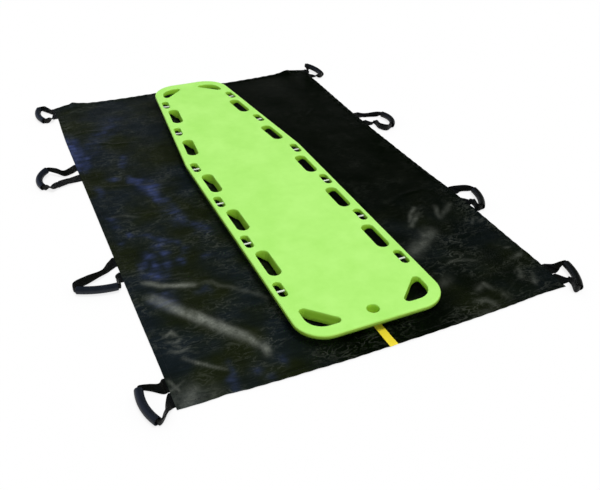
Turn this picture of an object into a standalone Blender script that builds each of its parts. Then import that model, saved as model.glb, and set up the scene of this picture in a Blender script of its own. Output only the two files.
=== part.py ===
# Soft stretcher: a coated carrying sheet with eight webbing handles, and the spine board lying on it.
# Metres, +Z up. Origin: underside of the sheet, at its centre. -Y is the head end, +Y the foot end.
# Left is -X, as seen from the head end. The sheet lies flat, its two side wings fold up.

import math

import bmesh
import bpy
from mathutils import Vector

# Sheet
SHEET_LENGTH = 1.907
SHEET_WIDTH = 1.218
SHEET_THICKNESS = 0.0012
CENTRE_PANEL_WIDTH = 0.690
STRIPE_WIDTH = 0.025
STRIPE_THICKNESS = 0.0003
STRIPE_OFFSET = -0.010
ANCHOR_RAMP = 0.022

# Webbing and hose of a handle
WEBBING_WIDTH = 0.050
WEBBING_THICKNESS = 0.0018
WEBBING_ROLLED_WIDTH = 0.015
WEBBING_ROLLED_THICKNESS = 0.006
TAIL_LENGTH = 0.065
GRIP_LENGTH = 0.120
GRIP_DIAMETER = 0.024
GRIP_WALL = 0.0025
GRIP_MOUTH_LEAD = 0.006
EXIT_LEAD = 0.005

# Handle places along the sheet, and the free gap between the two tails of a handle
CORNER_HANDLE_INSET = 0.062
LOWER_HANDLE_Y = -0.335
LOWER_RIGHT_HANDLE_Y = -0.385
UPPER_HANDLE_Y = 0.325
CORNER_TAIL_GAP = 0.004
MIDDLE_TAIL_GAP = 0.034

# Spine board: a thin rim all round, and a thick hull under it with sloping sides
BOARD_CENTRE = (-0.014, -0.007)
BOARD_LENGTH = 1.809
BOARD_WIDTH = 0.461
BOARD_FOOT_WIDTH = 0.312
TAPER_START_SHARE = 0.083
BOARD_THICKNESS = 0.040
RIM_THICKNESS = 0.016
RIM_TOP_ROUNDING = 0.008
RIM_BOTTOM_ROUNDING = 0.004
HULL_TOP_INSET = 0.030
HULL_BOTTOM_INSET = 0.060
BOARD_WALL = 0.006
HEAD_CORNER_RADIUS = 0.090
FOOT_CORNER_RADIUS = 0.108
SHOULDER_RADIUS = 0.300
RUNNER_HEIGHT = 0.0065
RUNNER_WIDTH = 0.050
RUNNER_OFFSET = 0.090
RUNNER_END_GAP = 0.170

# Openings of the board: their places as shares of its length from its centre, and their distance
# to its edge
HANDHOLD_SHARES = (-0.2961, -0.1519, -0.0071, 0.1557, 0.3191)
HANDHOLD_LENGTH = 0.137
HANDHOLD_WIDTH = 0.042
HANDHOLD_INSET = 0.046
PIN_SLOT_SHARES = (-0.3692, -0.2239, -0.0798, 0.0661, 0.2388, 0.3885)
PIN_SLOT_LENGTH = 0.073
PIN_SLOT_WIDTH = 0.027
PIN_SLOT_INSET = 0.028
PIN_DIAMETER = 0.006
PIN_SOCKET_DEPTH = 0.006
PIN_DEPTH = 0.010
CORNER_HOLD_SIDE_WALL = 0.035
HEAD_HOLD_END_WALL = 0.040
HEAD_HOLD_ALONG = 0.112
HEAD_HOLD_ACROSS = 0.112
HEAD_HOLD_OUTER_RADIUS = 0.052
FOOT_HOLD_END_WALL = 0.046
FOOT_HOLD_ALONG = 0.102
FOOT_HOLD_ACROSS = 0.104
FOOT_HOLD_OUTER_RADIUS = 0.062
CORNER_HOLD_TIP_RADIUS = 0.013
HANGING_HOLE_DIAMETER = 0.037
HANGING_HOLE_END_WALL = 0.036

# Foam filling
CORE_WIDTH = 0.260
CORE_FOOT_WIDTH = 0.150
CORE_HEAD_GAP = 0.130
CORE_FOOT_GAP = 0.150
PLUG_DIAMETER = 0.020
PLUG_HEAD_GAP = 0.200

# Gaps and facets
TOUCH_GAP = 0.0003
HINGE_GAP = 0.0005
SLOT_END_SEGMENTS = 6
CORNER_SEGMENTS = 6
GRIP_SIDES = 12
GRIP_RINGS = 9
STRAP_STEPS = 3
ROD_SIDES = 12
CUT_MARGIN = 0.004

# Places and heights that follow from the sizes above
BOARD_TAPER_START = TAPER_START_SHARE * BOARD_LENGTH
HANDHOLD_STATIONS = [share * BOARD_LENGTH for share in HANDHOLD_SHARES]
PIN_SLOT_STATIONS = [share * BOARD_LENGTH for share in PIN_SLOT_SHARES]
TAIL_TOP = WEBBING_THICKNESS
ANCHOR_LIFT = TAIL_TOP + TOUCH_GAP
FOLD_HEIGHT = SHEET_THICKNESS
HINGE_HEIGHT = ANCHOR_LIFT + SHEET_THICKNESS
RUNNER_BOTTOM = SHEET_THICKNESS + TOUCH_GAP
BOARD_BOTTOM = RUNNER_BOTTOM + RUNNER_HEIGHT
BOARD_TOP = BOARD_BOTTOM + BOARD_THICKNESS
RIM_BOTTOM = BOARD_TOP - RIM_THICKNESS
PANEL_HALF = CENTRE_PANEL_WIDTH / 2
SHEET_EDGE = SHEET_WIDTH / 2
SHEET_END = SHEET_LENGTH / 2
GRIP_RADIUS = GRIP_DIAMETER / 2
TAPER_ANGLE = math.atan2((BOARD_WIDTH - BOARD_FOOT_WIDTH) / 2, BOARD_LENGTH / 2 - BOARD_TAPER_START)

# Each handle as it lies in the photograph. Points are (outward, along, lift, flat, tilt):
# outward from the sheet's edge, along the edge from the handle's centre, lift of the lowest point
# above the floor, share of the full webbing width, and tilt of the width from level to upright.
# The grip is an arc: outward and along of its middle, heading in degrees from outward towards
# +along, bend in degrees, and lift at its first and last mouth.
HANDLES = {
    "near_left": {
        "side": -1,
        "along": -(SHEET_END - CORNER_HANDLE_INSET),
        "corner": True,
        "first": [(0.019, 0.016, 0.002, 0.55, 19), (0.043, 0.027, 0.003, 0.34, 55)],
        "grip": (0.072, -0.032, -98, -38, 0.002, 0.002),
        "last": [(0.036, -0.084, 0.003, 0.50, 62), (0.020, -0.050, 0.001, 0.80, 20)],
    },
    "lower_left": {
        "side": -1,
        "along": LOWER_HANDLE_Y,
        "corner": False,
        "first": [(0.024, 0.018, 0.003, 0.67, 13), (0.049, -0.015, 0.009, 0.30, 60),
                  (0.102, -0.037, 0.005, 0.50, 76), (0.142, -0.052, 0.004, 0.50, 90)],
        "grip": (0.082, -0.092, -164, -28, 0.003, 0.005),
        "last": [(0.016, -0.082, 0.006, 0.56, 62), (0.018, -0.055, 0.003, 0.90, 18)],
    },
    "upper_left": {
        "side": -1,
        "along": UPPER_HANDLE_Y,
        "corner": False,
        "first": [(0.022, 0.012, 0.004, 0.60, 21), (0.053, -0.008, 0.006, 0.38, 54),
                  (0.076, 0.010, 0.010, 0.42, 87)],
        "grip": (0.142, -0.019, -75, -79, 0.009, 0.001),
        "last": [(0.113, -0.085, 0.001, 0.9, 21), (0.084, -0.064, 0.002, 1.0, 5),
                 (0.041, -0.051, 0.001, 1.0, 6)],
    },
    "far_left": {
        "side": -1,
        "along": SHEET_END - CORNER_HANDLE_INSET,
        "corner": True,
        "first": [(0.018, 0.022, 0.005, 0.63, 21), (0.034, 0.040, 0.003, 0.46, 75)],
        "grip": (0.067, -0.020, -92, -54, 0.005, 0.001),
        "last": [(0.033, -0.082, 0.001, 0.58, 62), (0.014, -0.054, 0.001, 0.9, 14)],
    },
    "near_right": {
        "side": 1,
        "along": -(SHEET_END - CORNER_HANDLE_INSET),
        "corner": True,
        "first": [(0.019, 0.017, 0.002, 0.54, 18), (0.043, 0.021, 0.002, 0.34, 66)],
        "grip": (0.042, -0.044, -113, -32, 0.002, 0.002),
        "last": [(-0.004, -0.099, 0.004, 0.5, 90), (0.012, -0.064, 0.004, 0.55, 73),
                  (0.013, -0.038, 0.002, 0.80, 22)],
    },
    "lower_right": {
        "side": 1,
        "along": LOWER_RIGHT_HANDLE_Y,
        "corner": False,
        "first": [(0.022, 0.034, 0.003, 0.56, 18), (0.052, 0.018, 0.003, 0.40, 60)],
        "grip": (0.050, -0.061, -113, -36, 0.002, 0.004),
        "last": [(0.003, -0.111, 0.003, 0.50, 90), (0.010, -0.078, 0.004, 0.50, 80),
                  (0.012, -0.051, 0.004, 0.71, 23)],
    },
    "upper_right": {
        "side": 1,
        "along": UPPER_HANDLE_Y,
        "corner": False,
        "first": [(0.022, 0.022, 0.001, 0.50, 12), (0.056, 0.006, 0.002, 0.42, 35)],
        "grip": (0.093, -0.074, -98, -75, 0.004, 0.003),
        "last": [(0.034, -0.142, 0.004, 0.50, 88), (0.014, -0.118, 0.005, 0.50, 85),
                 (0.018, -0.072, 0.003, 0.62, 50)],
    },
    "far_right": {
        "side": 1,
        "along": SHEET_END - CORNER_HANDLE_INSET,
        "corner": True,
        "first": [(0.018, 0.034, 0.001, 0.44, 5), (0.021, 0.065, 0.003, 0.46, 77)],
        "grip": (0.041, -0.004, -76, -44, 0.011, 0.003),
        "last": [(0.031, -0.075, 0.003, 0.53, 68), (0.020, -0.058, 0.004, 0.77, 23)],
    },
}


def clear_scene():
    for item in list(bpy.data.objects):
        bpy.data.objects.remove(item, do_unlink=True)


def make_material(name, colour, roughness, metallic=0.0):
    material = bpy.data.materials.new(name)
    material.use_nodes = True
    shader = material.node_tree.nodes["Principled BSDF"]
    shader.inputs["Base Color"].default_value = (*colour, 1.0)
    shader.inputs["Roughness"].default_value = roughness
    shader.inputs["Metallic"].default_value = metallic
    material.diffuse_color = (*colour, 1.0)
    return material


def make_axis(name, place, parent=None):
    axis = bpy.data.objects.new(name, None)
    axis.empty_display_size = 0.05
    bpy.context.scene.collection.objects.link(axis)
    axis.parent = parent
    axis.location = Vector(place) - (world_place(parent) if parent else Vector())
    return axis


def world_place(item):
    place = Vector(item.location)
    while item.parent:
        item = item.parent
        place += Vector(item.location)
    return place


def make_object(name, mesh_data, material, axis, smooth_angle=None):
    # mesh_data is a bmesh in world coordinates; the object's origin goes to its axis
    mesh = bpy.data.meshes.new(name)
    bmesh.ops.translate(mesh_data, verts=mesh_data.verts, vec=-world_place(axis))
    bmesh.ops.recalc_face_normals(mesh_data, faces=mesh_data.faces)
    mesh_data.to_mesh(mesh)
    mesh_data.free()
    item = bpy.data.objects.new(name, mesh)
    bpy.context.scene.collection.objects.link(item)
    item.parent = axis
    mesh.materials.append(material)
    if smooth_angle is not None:
        mesh.shade_smooth()
        mesh.set_sharp_from_angle(angle=math.radians(smooth_angle))
    return item


def make_cutter(name, mesh_data, axis):
    cutter = make_object(name, mesh_data, cutter_material, axis)
    cutter.hide_render = True
    cutter.display_type = 'WIRE'
    return cutter


def add_boolean(item, cutter, operation):
    modifier = item.modifiers.new(cutter.name, 'BOOLEAN')
    modifier.object = cutter
    modifier.operation = operation
    modifier.solver = 'EXACT'


def add_prism(mesh_data, outline, bottom, top):
    # a solid with the given outline, counter-clockwise seen from above
    low = [mesh_data.verts.new((x, y, bottom)) for x, y in outline]
    high = [mesh_data.verts.new((x, y, top)) for x, y in outline]
    mesh_data.faces.new(list(reversed(low)))
    mesh_data.faces.new(high)
    count = len(outline)
    for index in range(count):
        following = (index + 1) % count
        mesh_data.faces.new((low[index], low[following], high[following], high[index]))
    return low, high


def rounded_polygon(corners, segments):
    # corners are (x, y, radius), counter-clockwise; each corner becomes an arc
    outline = []
    count = len(corners)
    for index, (x, y, radius) in enumerate(corners):
        here = Vector((x, y))
        before = (Vector(corners[index - 1][:2]) - here).normalized()
        after = (Vector(corners[(index + 1) % count][:2]) - here).normalized()
        half_angle = before.angle(after) / 2
        centre = here + (before + after).normalized() * (radius / math.sin(half_angle))
        start = here + before * (radius / math.tan(half_angle)) - centre
        sweep = math.pi - 2 * half_angle
        for step in range(segments + 1):
            angle = sweep * step / segments
            turned = Vector((start.x * math.cos(angle) - start.y * math.sin(angle),
                             start.x * math.sin(angle) + start.y * math.cos(angle)))
            outline.append(tuple(centre + turned))
    return outline


def slot_outline(length, width, segments):
    # a slot with half-round ends, its length along Y
    radius = width / 2
    straight = length / 2 - radius
    outline = []
    for end, first_angle in ((straight, 0.0), (-straight, math.pi)):
        for step in range(segments + 1):
            angle = first_angle + math.pi * step / segments
            outline.append((radius * math.cos(angle), end + radius * math.sin(angle)))
    return outline


def moved_outline(outline, centre, angle):
    cosine = math.cos(angle)
    sine = math.sin(angle)
    return [(centre[0] + x * cosine - y * sine, centre[1] + x * sine + y * cosine) for x, y in outline]


def add_rod(mesh_data, start, end, radius):
    # a rod between two points, with one facet pattern for rods and their sockets
    axis = (end - start).normalized()
    side = axis.cross(Vector((0, 0, 1))).normalized()
    rise = side.cross(axis).normalized()
    rings = []
    for centre in (start, end):
        ring = []
        for step in range(ROD_SIDES):
            angle = 2 * math.pi * (step + 0.5) / ROD_SIDES
            offset = side * math.cos(angle) + rise * math.sin(angle)
            ring.append(mesh_data.verts.new(centre + offset * radius))
        rings.append(ring)
    mesh_data.faces.new(rings[0])
    mesh_data.faces.new(list(reversed(rings[1])))
    for step in range(ROD_SIDES):
        following = (step + 1) % ROD_SIDES
        mesh_data.faces.new((rings[0][step], rings[0][following], rings[1][following], rings[1][step]))


# Sheet

def tail_half_span(handle):
    # from the handle's centre to the outer edge of its tails
    return tail_offset(handle) + WEBBING_WIDTH / 2


def tail_offset(handle):
    gap = CORNER_TAIL_GAP if handle["corner"] else MIDDLE_TAIL_GAP
    return (WEBBING_WIDTH + gap) / 2


def ramp(value, low, high):
    # 1 between low and high, falling to 0 over the anchor ramp outside them
    outside = max(low - value, value - high, 0.0)
    return max(0.0, 1.0 - outside / ANCHOR_RAMP)


def sheet_lift(outward, along, handles):
    # how far the sheet is raised by the tails beneath it; outward is negative inside the edge
    across = ramp(outward, -TAIL_LENGTH - 2 * TOUCH_GAP, 0.0)
    along_share = max(ramp(along, *anchor_zone(handle)) for handle in handles)
    return ANCHOR_LIFT * across * along_share


def anchor_zone(handle):
    reach = tail_half_span(handle) + 2 * TOUCH_GAP
    return handle["along"] - reach, handle["along"] + reach


def side_handles(side):
    return [handle for handle in HANDLES.values() if handle["side"] == side]


def build_wing(name, side, axis):
    handles = side_handles(side)
    zone_start = -TAIL_LENGTH - 2 * TOUCH_GAP
    outward_lines = [PANEL_HALF + TOUCH_GAP - SHEET_EDGE, zone_start - ANCHOR_RAMP, zone_start, 0.0]
    along_lines = {-SHEET_END, SHEET_END}
    for handle in handles:
        low, high = anchor_zone(handle)
        for line in (low - ANCHOR_RAMP, low, high, high + ANCHOR_RAMP):
            if abs(line) < SHEET_END - TOUCH_GAP:
                along_lines.add(line)
    mesh_data = bmesh.new()
    layers = []
    for height in (0.0, SHEET_THICKNESS):
        grid = []
        for along in sorted(along_lines):
            row = []
            for outward in outward_lines:
                lift = sheet_lift(outward, along, handles)
                row.append(mesh_data.verts.new((side * (SHEET_EDGE + outward), along, lift + height)))
            grid.append(row)
        layers.append(grid)
    close_layers(mesh_data, layers)
    return make_object(name, mesh_data, sheet_material, axis)


def close_layers(mesh_data, layers):
    # two grids of vertices, one above the other, become one closed slab
    bottom, top = layers
    rows = len(bottom)
    columns = len(bottom[0])
    for grid in layers:
        for row in range(rows - 1):
            for column in range(columns - 1):
                mesh_data.faces.new((grid[row][column], grid[row][column + 1],
                                     grid[row + 1][column + 1], grid[row + 1][column]))
    border = [(0, column) for column in range(columns)]
    border += [(row, columns - 1) for row in range(1, rows)]
    border += [(rows - 1, column) for column in range(columns - 2, -1, -1)]
    border += [(row, 0) for row in range(rows - 2, 0, -1)]
    for index, (row, column) in enumerate(border):
        next_row, next_column = border[(index + 1) % len(border)]
        mesh_data.faces.new((bottom[row][column], bottom[next_row][next_column],
                             top[next_row][next_column], top[row][column]))


def build_centre_panel(axis):
    mesh_data = bmesh.new()
    outline = [(-PANEL_HALF, -SHEET_END), (PANEL_HALF, -SHEET_END),
               (PANEL_HALF, SHEET_END), (-PANEL_HALF, SHEET_END)]
    add_prism(mesh_data, outline, 0.0, SHEET_THICKNESS)
    return make_object("sheet_centre", mesh_data, sheet_material, axis)


def build_centre_stripe(axis):
    # the stripe lies on the sheet and turns down over both of its ends
    inner_end = SHEET_END + TOUCH_GAP
    outer_end = inner_end + STRIPE_THICKNESS
    under = SHEET_THICKNESS + TOUCH_GAP
    over = under + STRIPE_THICKNESS
    foot = TOUCH_GAP
    profile = [(-outer_end, foot), (-inner_end, foot), (-inner_end, under), (inner_end, under),
               (inner_end, foot), (outer_end, foot), (outer_end, over), (-outer_end, over)]
    mesh_data = bmesh.new()
    rings = []
    for x in (STRIPE_OFFSET - STRIPE_WIDTH / 2, STRIPE_OFFSET + STRIPE_WIDTH / 2):
        rings.append([mesh_data.verts.new((x, y, z)) for y, z in profile])
    mesh_data.faces.new(rings[0])
    mesh_data.faces.new(list(reversed(rings[1])))
    count = len(profile)
    for index in range(count):
        following = (index + 1) % count
        mesh_data.faces.new((rings[0][index], rings[0][following], rings[1][following], rings[1][index]))
    return make_object("centre_stripe", mesh_data, stripe_material, axis)


# Handles

def grip_arc(handle):
    # stations along the grip's centre line: outward, along, lift, and the level heading
    outward, along, heading, bend, first_lift, last_lift = handle["grip"]
    heading = math.radians(heading)
    bend = math.radians(bend)
    stations = []
    for step in range(GRIP_RINGS):
        share = step / (GRIP_RINGS - 1) - 0.5
        distance = GRIP_LENGTH * share
        chord = 2 * GRIP_LENGTH / bend * math.sin(bend * share / 2)
        direction = heading + bend * share / 2
        stations.append((outward + chord * math.cos(direction), along + chord * math.sin(direction),
                         first_lift + (last_lift - first_lift) * (share + 0.5),
                         heading + bend * distance / GRIP_LENGTH))
    return stations


def strap_keys(handle):
    # every key is (outward, along, height, width, thickness, turn): the webbing's width points
    # along the edge at turn 0, upright at 90 and back along the edge at 180
    offset = tail_offset(handle)
    flat_height = TAIL_TOP / 2
    lead = HINGE_GAP + EXIT_LEAD
    stations = grip_arc(handle)
    keys = [(HINGE_GAP, offset, flat_height, WEBBING_WIDTH, WEBBING_THICKNESS, 0.0),
            (lead, offset, flat_height, WEBBING_WIDTH, WEBBING_THICKNESS, 0.0)]
    keys += [strap_key(point, False) for point in handle["first"]]
    keys.append(mouth_key(stations[0], -1))
    for outward, along, lift, heading in stations:
        keys.append((outward, along, GRIP_RADIUS + lift,
                     WEBBING_ROLLED_WIDTH, WEBBING_ROLLED_THICKNESS, 90.0))
    keys.append(mouth_key(stations[-1], 1))
    keys += [strap_key(point, True) for point in handle["last"]]
    keys += [(lead, -offset, flat_height, WEBBING_WIDTH, WEBBING_THICKNESS, 180.0),
             (HINGE_GAP, -offset, flat_height, WEBBING_WIDTH, WEBBING_THICKNESS, 180.0)]
    return keys


def strap_key(point, returning):
    # folded webbing has up to three layers where it narrows
    outward, along, lift, flat, tilt = point
    width = WEBBING_WIDTH * flat
    thickness = WEBBING_THICKNESS * (1.0 + 2.0 * (1.0 - flat))
    angle = math.radians(tilt)
    height = (width * math.sin(angle) + thickness * math.cos(angle)) / 2 + lift
    return outward, along, height, width, thickness, 180.0 - tilt if returning else tilt


def mouth_key(station, way):
    # the webbing runs straight out of the hose before it turns
    outward, along, lift, heading = station
    return (outward + way * GRIP_MOUTH_LEAD * math.cos(heading),
            along + way * GRIP_MOUTH_LEAD * math.sin(heading),
            GRIP_RADIUS + lift, WEBBING_ROLLED_WIDTH, WEBBING_ROLLED_THICKNESS, 90.0)


def smooth_keys(keys, steps):
    # a Catmull-Rom curve through the keys, by all of their values, spaced by chord length
    count = len(keys)
    chords = []
    for index in range(count - 1):
        distance = math.dist(keys[index][:3], keys[index + 1][:3])
        chords.append(math.sqrt(max(distance, 1e-6)))
    result = []
    for index in range(count - 1):
        before = keys[index - 1] if index else extend(keys[1], keys[0])
        after = keys[index + 2] if index + 2 < count else extend(keys[-2], keys[-1])
        chord_before = chords[index - 1] if index else chords[0]
        chord_after = chords[index + 1] if index + 1 < count - 1 else chords[-1]
        for step in range(steps):
            result.append(curve_point(before, keys[index], keys[index + 1], after,
                                      (chord_before, chords[index], chord_after), step / steps))
    result.append(keys[-1])
    return result


def extend(inner, outer):
    return tuple(2 * b - a for a, b in zip(inner, outer))


def curve_point(before, start, end, after, chords, share):
    first, middle, last = chords
    values = []
    for p0, p1, p2, p3 in zip(before, start, end, after):
        leave = middle * ((p1 - p0) / first - (p2 - p0) / (first + middle) + (p2 - p1) / middle)
        arrive = middle * ((p2 - p1) / middle - (p3 - p1) / (middle + last) + (p3 - p2) / last)
        cubic = 2 * p1 - 2 * p2 + leave + arrive
        square = 3 * p2 - 3 * p1 - 2 * leave - arrive
        values.append(((cubic * share + square) * share + leave) * share + p1)
    return tuple(values)


def world_point(handle, outward, along, height):
    return Vector((handle["side"] * (SHEET_EDGE + outward), handle["along"] + along, height))


def route_frames(handle, stations):
    # centre, width direction and thickness direction at each station
    centres = [world_point(handle, station[0], station[1], raised_height(station)) for station in stations]
    frames = []
    last = len(centres) - 1
    for index, centre in enumerate(centres):
        tangent = (centres[min(index + 1, last)] - centres[max(index - 1, 0)]).normalized()
        if index in (0, last):
            tangent = Vector((handle["side"] if index == 0 else -handle["side"], 0, 0))
        turn = math.radians(stations[index][5])
        width_way = Vector((0, math.cos(turn), math.sin(turn)))
        frames.append((centre, width_way, tangent.cross(width_way).normalized()))
    return frames


def raised_height(station):
    # the smoothed curve may dip, so each section is kept above the floor
    outward, along, height, width, thickness, turn = station
    return max(height, (width * abs(math.sin(math.radians(turn))) + thickness) / 2)


def build_strap(name, handle, axis):
    stations = smooth_keys(strap_keys(handle), STRAP_STEPS)
    frames = route_frames(handle, stations)
    mesh_data = bmesh.new()
    rings = []
    for station, (centre, width_way, thick_way) in zip(stations, frames):
        half_width = width_way * (station[3] / 2)
        half_thick = thick_way * (station[4] / 2)
        corners = (centre - half_width - half_thick, centre + half_width - half_thick,
                   centre + half_width + half_thick, centre - half_width + half_thick)
        rings.append([mesh_data.verts.new(corner) for corner in corners])
    join_rings(mesh_data, rings)
    mesh_data.faces.new(rings[0])
    mesh_data.faces.new(list(reversed(rings[-1])))
    return make_object(name, mesh_data, webbing_material, axis)


def join_rings(mesh_data, rings):
    sides = len(rings[0])
    for ring, following_ring in zip(rings, rings[1:]):
        for side in range(sides):
            following = (side + 1) % sides
            mesh_data.faces.new((ring[side], ring[following],
                                 following_ring[following], following_ring[side]))


def build_grip(name, handle, axis):
    mesh_data = bmesh.new()
    walls = []
    for radius in (GRIP_RADIUS, GRIP_RADIUS - GRIP_WALL):
        rings = []
        for outward, along, lift, heading in grip_arc(handle):
            centre = world_point(handle, outward, along, GRIP_RADIUS + lift)
            level = Vector((-handle["side"] * math.sin(heading), math.cos(heading), 0))
            ring = []
            for step in range(GRIP_SIDES):
                angle = 2 * math.pi * (step + 0.5) / GRIP_SIDES
                offset = level * math.cos(angle) + Vector((0, 0, 1)) * math.sin(angle)
                ring.append(mesh_data.verts.new(centre + offset * radius))
            rings.append(ring)
        join_rings(mesh_data, rings)
        walls.append(rings)
    for end in (0, -1):
        outer = walls[0][end]
        inner = walls[1][end]
        for side in range(GRIP_SIDES):
            following = (side + 1) % GRIP_SIDES
            mesh_data.faces.new((outer[side], outer[following], inner[following], inner[side]))
    return make_object(name, mesh_data, hose_material, axis, smooth_angle=50)


def build_tails(name, handle, axis):
    # the two webbing tails that are sewn under the sheet, one on the head side and one on the foot side
    inner_x, outer_x = sorted((handle["side"] * (SHEET_EDGE - TAIL_LENGTH), handle["side"] * SHEET_EDGE))
    for way, end_name in ((-1, "head"), (1, "foot")):
        middle = handle["along"] + way * tail_offset(handle)
        low = middle - WEBBING_WIDTH / 2
        high = middle + WEBBING_WIDTH / 2
        mesh_data = bmesh.new()
        add_prism(mesh_data, [(inner_x, low), (outer_x, low), (outer_x, high), (inner_x, high)], 0.0, TAIL_TOP)
        make_object("tail_" + name + "_" + end_name, mesh_data, webbing_material, axis)


def build_handles(wing_axes):
    for name, handle in HANDLES.items():
        side = handle["side"]
        wing_axis = wing_axes[side]
        hinge_place = (side * (SHEET_EDGE + TOUCH_GAP), handle["along"], HINGE_HEIGHT)
        hinge = make_axis("hinge_" + name, hinge_place, wing_axis)
        build_tails(name, handle, wing_axis)
        build_strap("strap_" + name, handle, hinge)
        build_grip("grip_" + name, handle, hinge)


# Spine board

def board_half_width(station):
    taper = max(0.0, station - BOARD_TAPER_START)
    return BOARD_WIDTH / 2 - taper * math.tan(TAPER_ANGLE)


def board_angle(station):
    return TAPER_ANGLE if station > BOARD_TAPER_START else 0.0


def board_place(x, y):
    return BOARD_CENTRE[0] + x, BOARD_CENTRE[1] + y


def opening_place(station, inset, side):
    angle = side * board_angle(station)
    reach = board_half_width(station) - inset / math.cos(angle)
    return board_place(side * reach, station), angle


def mirrored_corners(corners):
    # corners of the +X half, foot to head, become one whole outline
    left = [(-x, y, radius) for x, y, radius in corners]
    return list(reversed(corners)) + left


def board_outline(inset):
    end = BOARD_LENGTH / 2 - inset
    foot_half = board_half_width(end) - inset / math.cos(TAPER_ANGLE)
    corners = [(foot_half, end, FOOT_CORNER_RADIUS - inset),
               (BOARD_WIDTH / 2 - inset, BOARD_TAPER_START, SHOULDER_RADIUS - inset),
               (BOARD_WIDTH / 2 - inset, -end, HEAD_CORNER_RADIUS - inset)]
    outline = rounded_polygon(mirrored_corners(corners), CORNER_SEGMENTS)
    return [board_place(x, y) for x, y in outline]


def add_slots(mesh_data, stations, length, width, inset):
    outline = slot_outline(length, width, SLOT_END_SEGMENTS)
    for station in stations:
        for side in (-1, 1):
            place, angle = opening_place(station, inset, side)
            add_prism(mesh_data, moved_outline(outline, place, angle),
                      BOARD_BOTTOM - CUT_MARGIN, BOARD_TOP + CUT_MARGIN)


def add_corner_holds(mesh_data):
    # one D-shaped hold in each corner: a long straight side and a round outer corner
    end = BOARD_LENGTH / 2
    for way, end_wall, along, across, radius in (
            (-1, HEAD_HOLD_END_WALL, HEAD_HOLD_ALONG, HEAD_HOLD_ACROSS, HEAD_HOLD_OUTER_RADIUS),
            (1, FOOT_HOLD_END_WALL, FOOT_HOLD_ALONG, FOOT_HOLD_ACROSS, FOOT_HOLD_OUTER_RADIUS)):
        outer_y = way * (end - end_wall)
        inner_y = outer_y - way * along
        outer_x = board_half_width(outer_y) - CORNER_HOLD_SIDE_WALL
        inner_x = board_half_width(inner_y) - CORNER_HOLD_SIDE_WALL
        corners = [(inner_x, inner_y, CORNER_HOLD_TIP_RADIUS),
                   (outer_x, outer_y, radius),
                   (outer_x - across, outer_y, CORNER_HOLD_TIP_RADIUS)]
        if way < 0:
            corners.reverse()
        outline = rounded_polygon(corners, CORNER_SEGMENTS)
        mirrored = [(-x, y) for x, y in reversed(outline)]
        for points in (outline, mirrored):
            placed = [board_place(x, y) for x, y in points]
            add_prism(mesh_data, placed, BOARD_BOTTOM - CUT_MARGIN, BOARD_TOP + CUT_MARGIN)


def circle_outline(centre, radius, sides):
    outline = []
    for step in range(sides):
        angle = 2 * math.pi * step / sides
        outline.append((centre[0] + radius * math.cos(angle), centre[1] + radius * math.sin(angle)))
    return outline


def pin_ends(station, side, reach):
    # a pin crosses its slot; reach is how far it goes into the board beyond each wall
    place, angle = opening_place(station, PIN_SLOT_INSET, side)
    height = BOARD_TOP - PIN_DEPTH
    middle = Vector((place[0], place[1], height))
    way = Vector((math.cos(angle), math.sin(angle), 0.0))
    half = PIN_SLOT_WIDTH / 2 + reach
    return middle - way * half, middle + way * half


def build_pins(name, side, axis):
    for number, station in enumerate(PIN_SLOT_STATIONS, start=1):
        mesh_data = bmesh.new()
        start, end = pin_ends(station, side, PIN_SOCKET_DEPTH)
        add_rod(mesh_data, start, end, PIN_DIAMETER / 2)
        make_object(name + "_" + str(number), mesh_data, pin_material, axis, smooth_angle=50)


def core_outline(shrink):
    end = BOARD_LENGTH / 2
    head = -end + CORE_HEAD_GAP + shrink
    foot = end - CORE_FOOT_GAP - shrink
    radius = BOARD_WALL * 3
    corners = [(CORE_FOOT_WIDTH / 2 - shrink, foot, radius),
               (CORE_WIDTH / 2 - shrink, BOARD_TAPER_START, radius),
               (CORE_WIDTH / 2 - shrink, head, radius)]
    outline = rounded_polygon(mirrored_corners(corners), 2)
    return [board_place(x, y) for x, y in outline]


def plug_centre():
    return board_place(0.0, -BOARD_LENGTH / 2 + PLUG_HEAD_GAP)


def build_foam(axis):
    mesh_data = bmesh.new()
    add_prism(mesh_data, core_outline(TOUCH_GAP),
              BOARD_BOTTOM + BOARD_WALL + TOUCH_GAP, BOARD_TOP - BOARD_WALL - TOUCH_GAP)
    make_object("board_foam_core", mesh_data, foam_material, axis)
    plug_data = bmesh.new()
    add_prism(plug_data, circle_outline(plug_centre(), PLUG_DIAMETER / 2, 2 * ROD_SIDES),
              BOARD_BOTTOM, BOARD_BOTTOM + BOARD_WALL)
    make_object("board_foam_plug", plug_data, board_material, axis, smooth_angle=50)


def runner_outline(side):
    end = BOARD_LENGTH / 2
    head = -end + RUNNER_END_GAP
    foot = end - RUNNER_END_GAP
    inner = RUNNER_OFFSET - RUNNER_WIDTH / 2
    outer = RUNNER_OFFSET + RUNNER_WIDTH / 2
    narrowing = (BOARD_WIDTH - BOARD_FOOT_WIDTH) / 8
    corners = [(outer, head), (outer, BOARD_TAPER_START), (outer - narrowing, foot),
               (inner - narrowing, foot), (inner, BOARD_TAPER_START), (inner, head)]
    if side < 0:
        corners = [(-x, y) for x, y in reversed(corners)]
    return [board_place(x, y) for x, y in corners]


def build_hull():
    # narrower at the bottom than at the top, and sunk a little into the rim
    mesh_data = bmesh.new()
    rings = []
    for inset, height in ((HULL_BOTTOM_INSET, BOARD_BOTTOM), (HULL_TOP_INSET, RIM_BOTTOM + BOARD_WALL / 2)):
        rings.append([mesh_data.verts.new((x, y, height)) for x, y in board_outline(inset)])
    join_rings(mesh_data, rings)
    mesh_data.faces.new(list(reversed(rings[0])))
    mesh_data.faces.new(rings[1])
    return mesh_data


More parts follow.
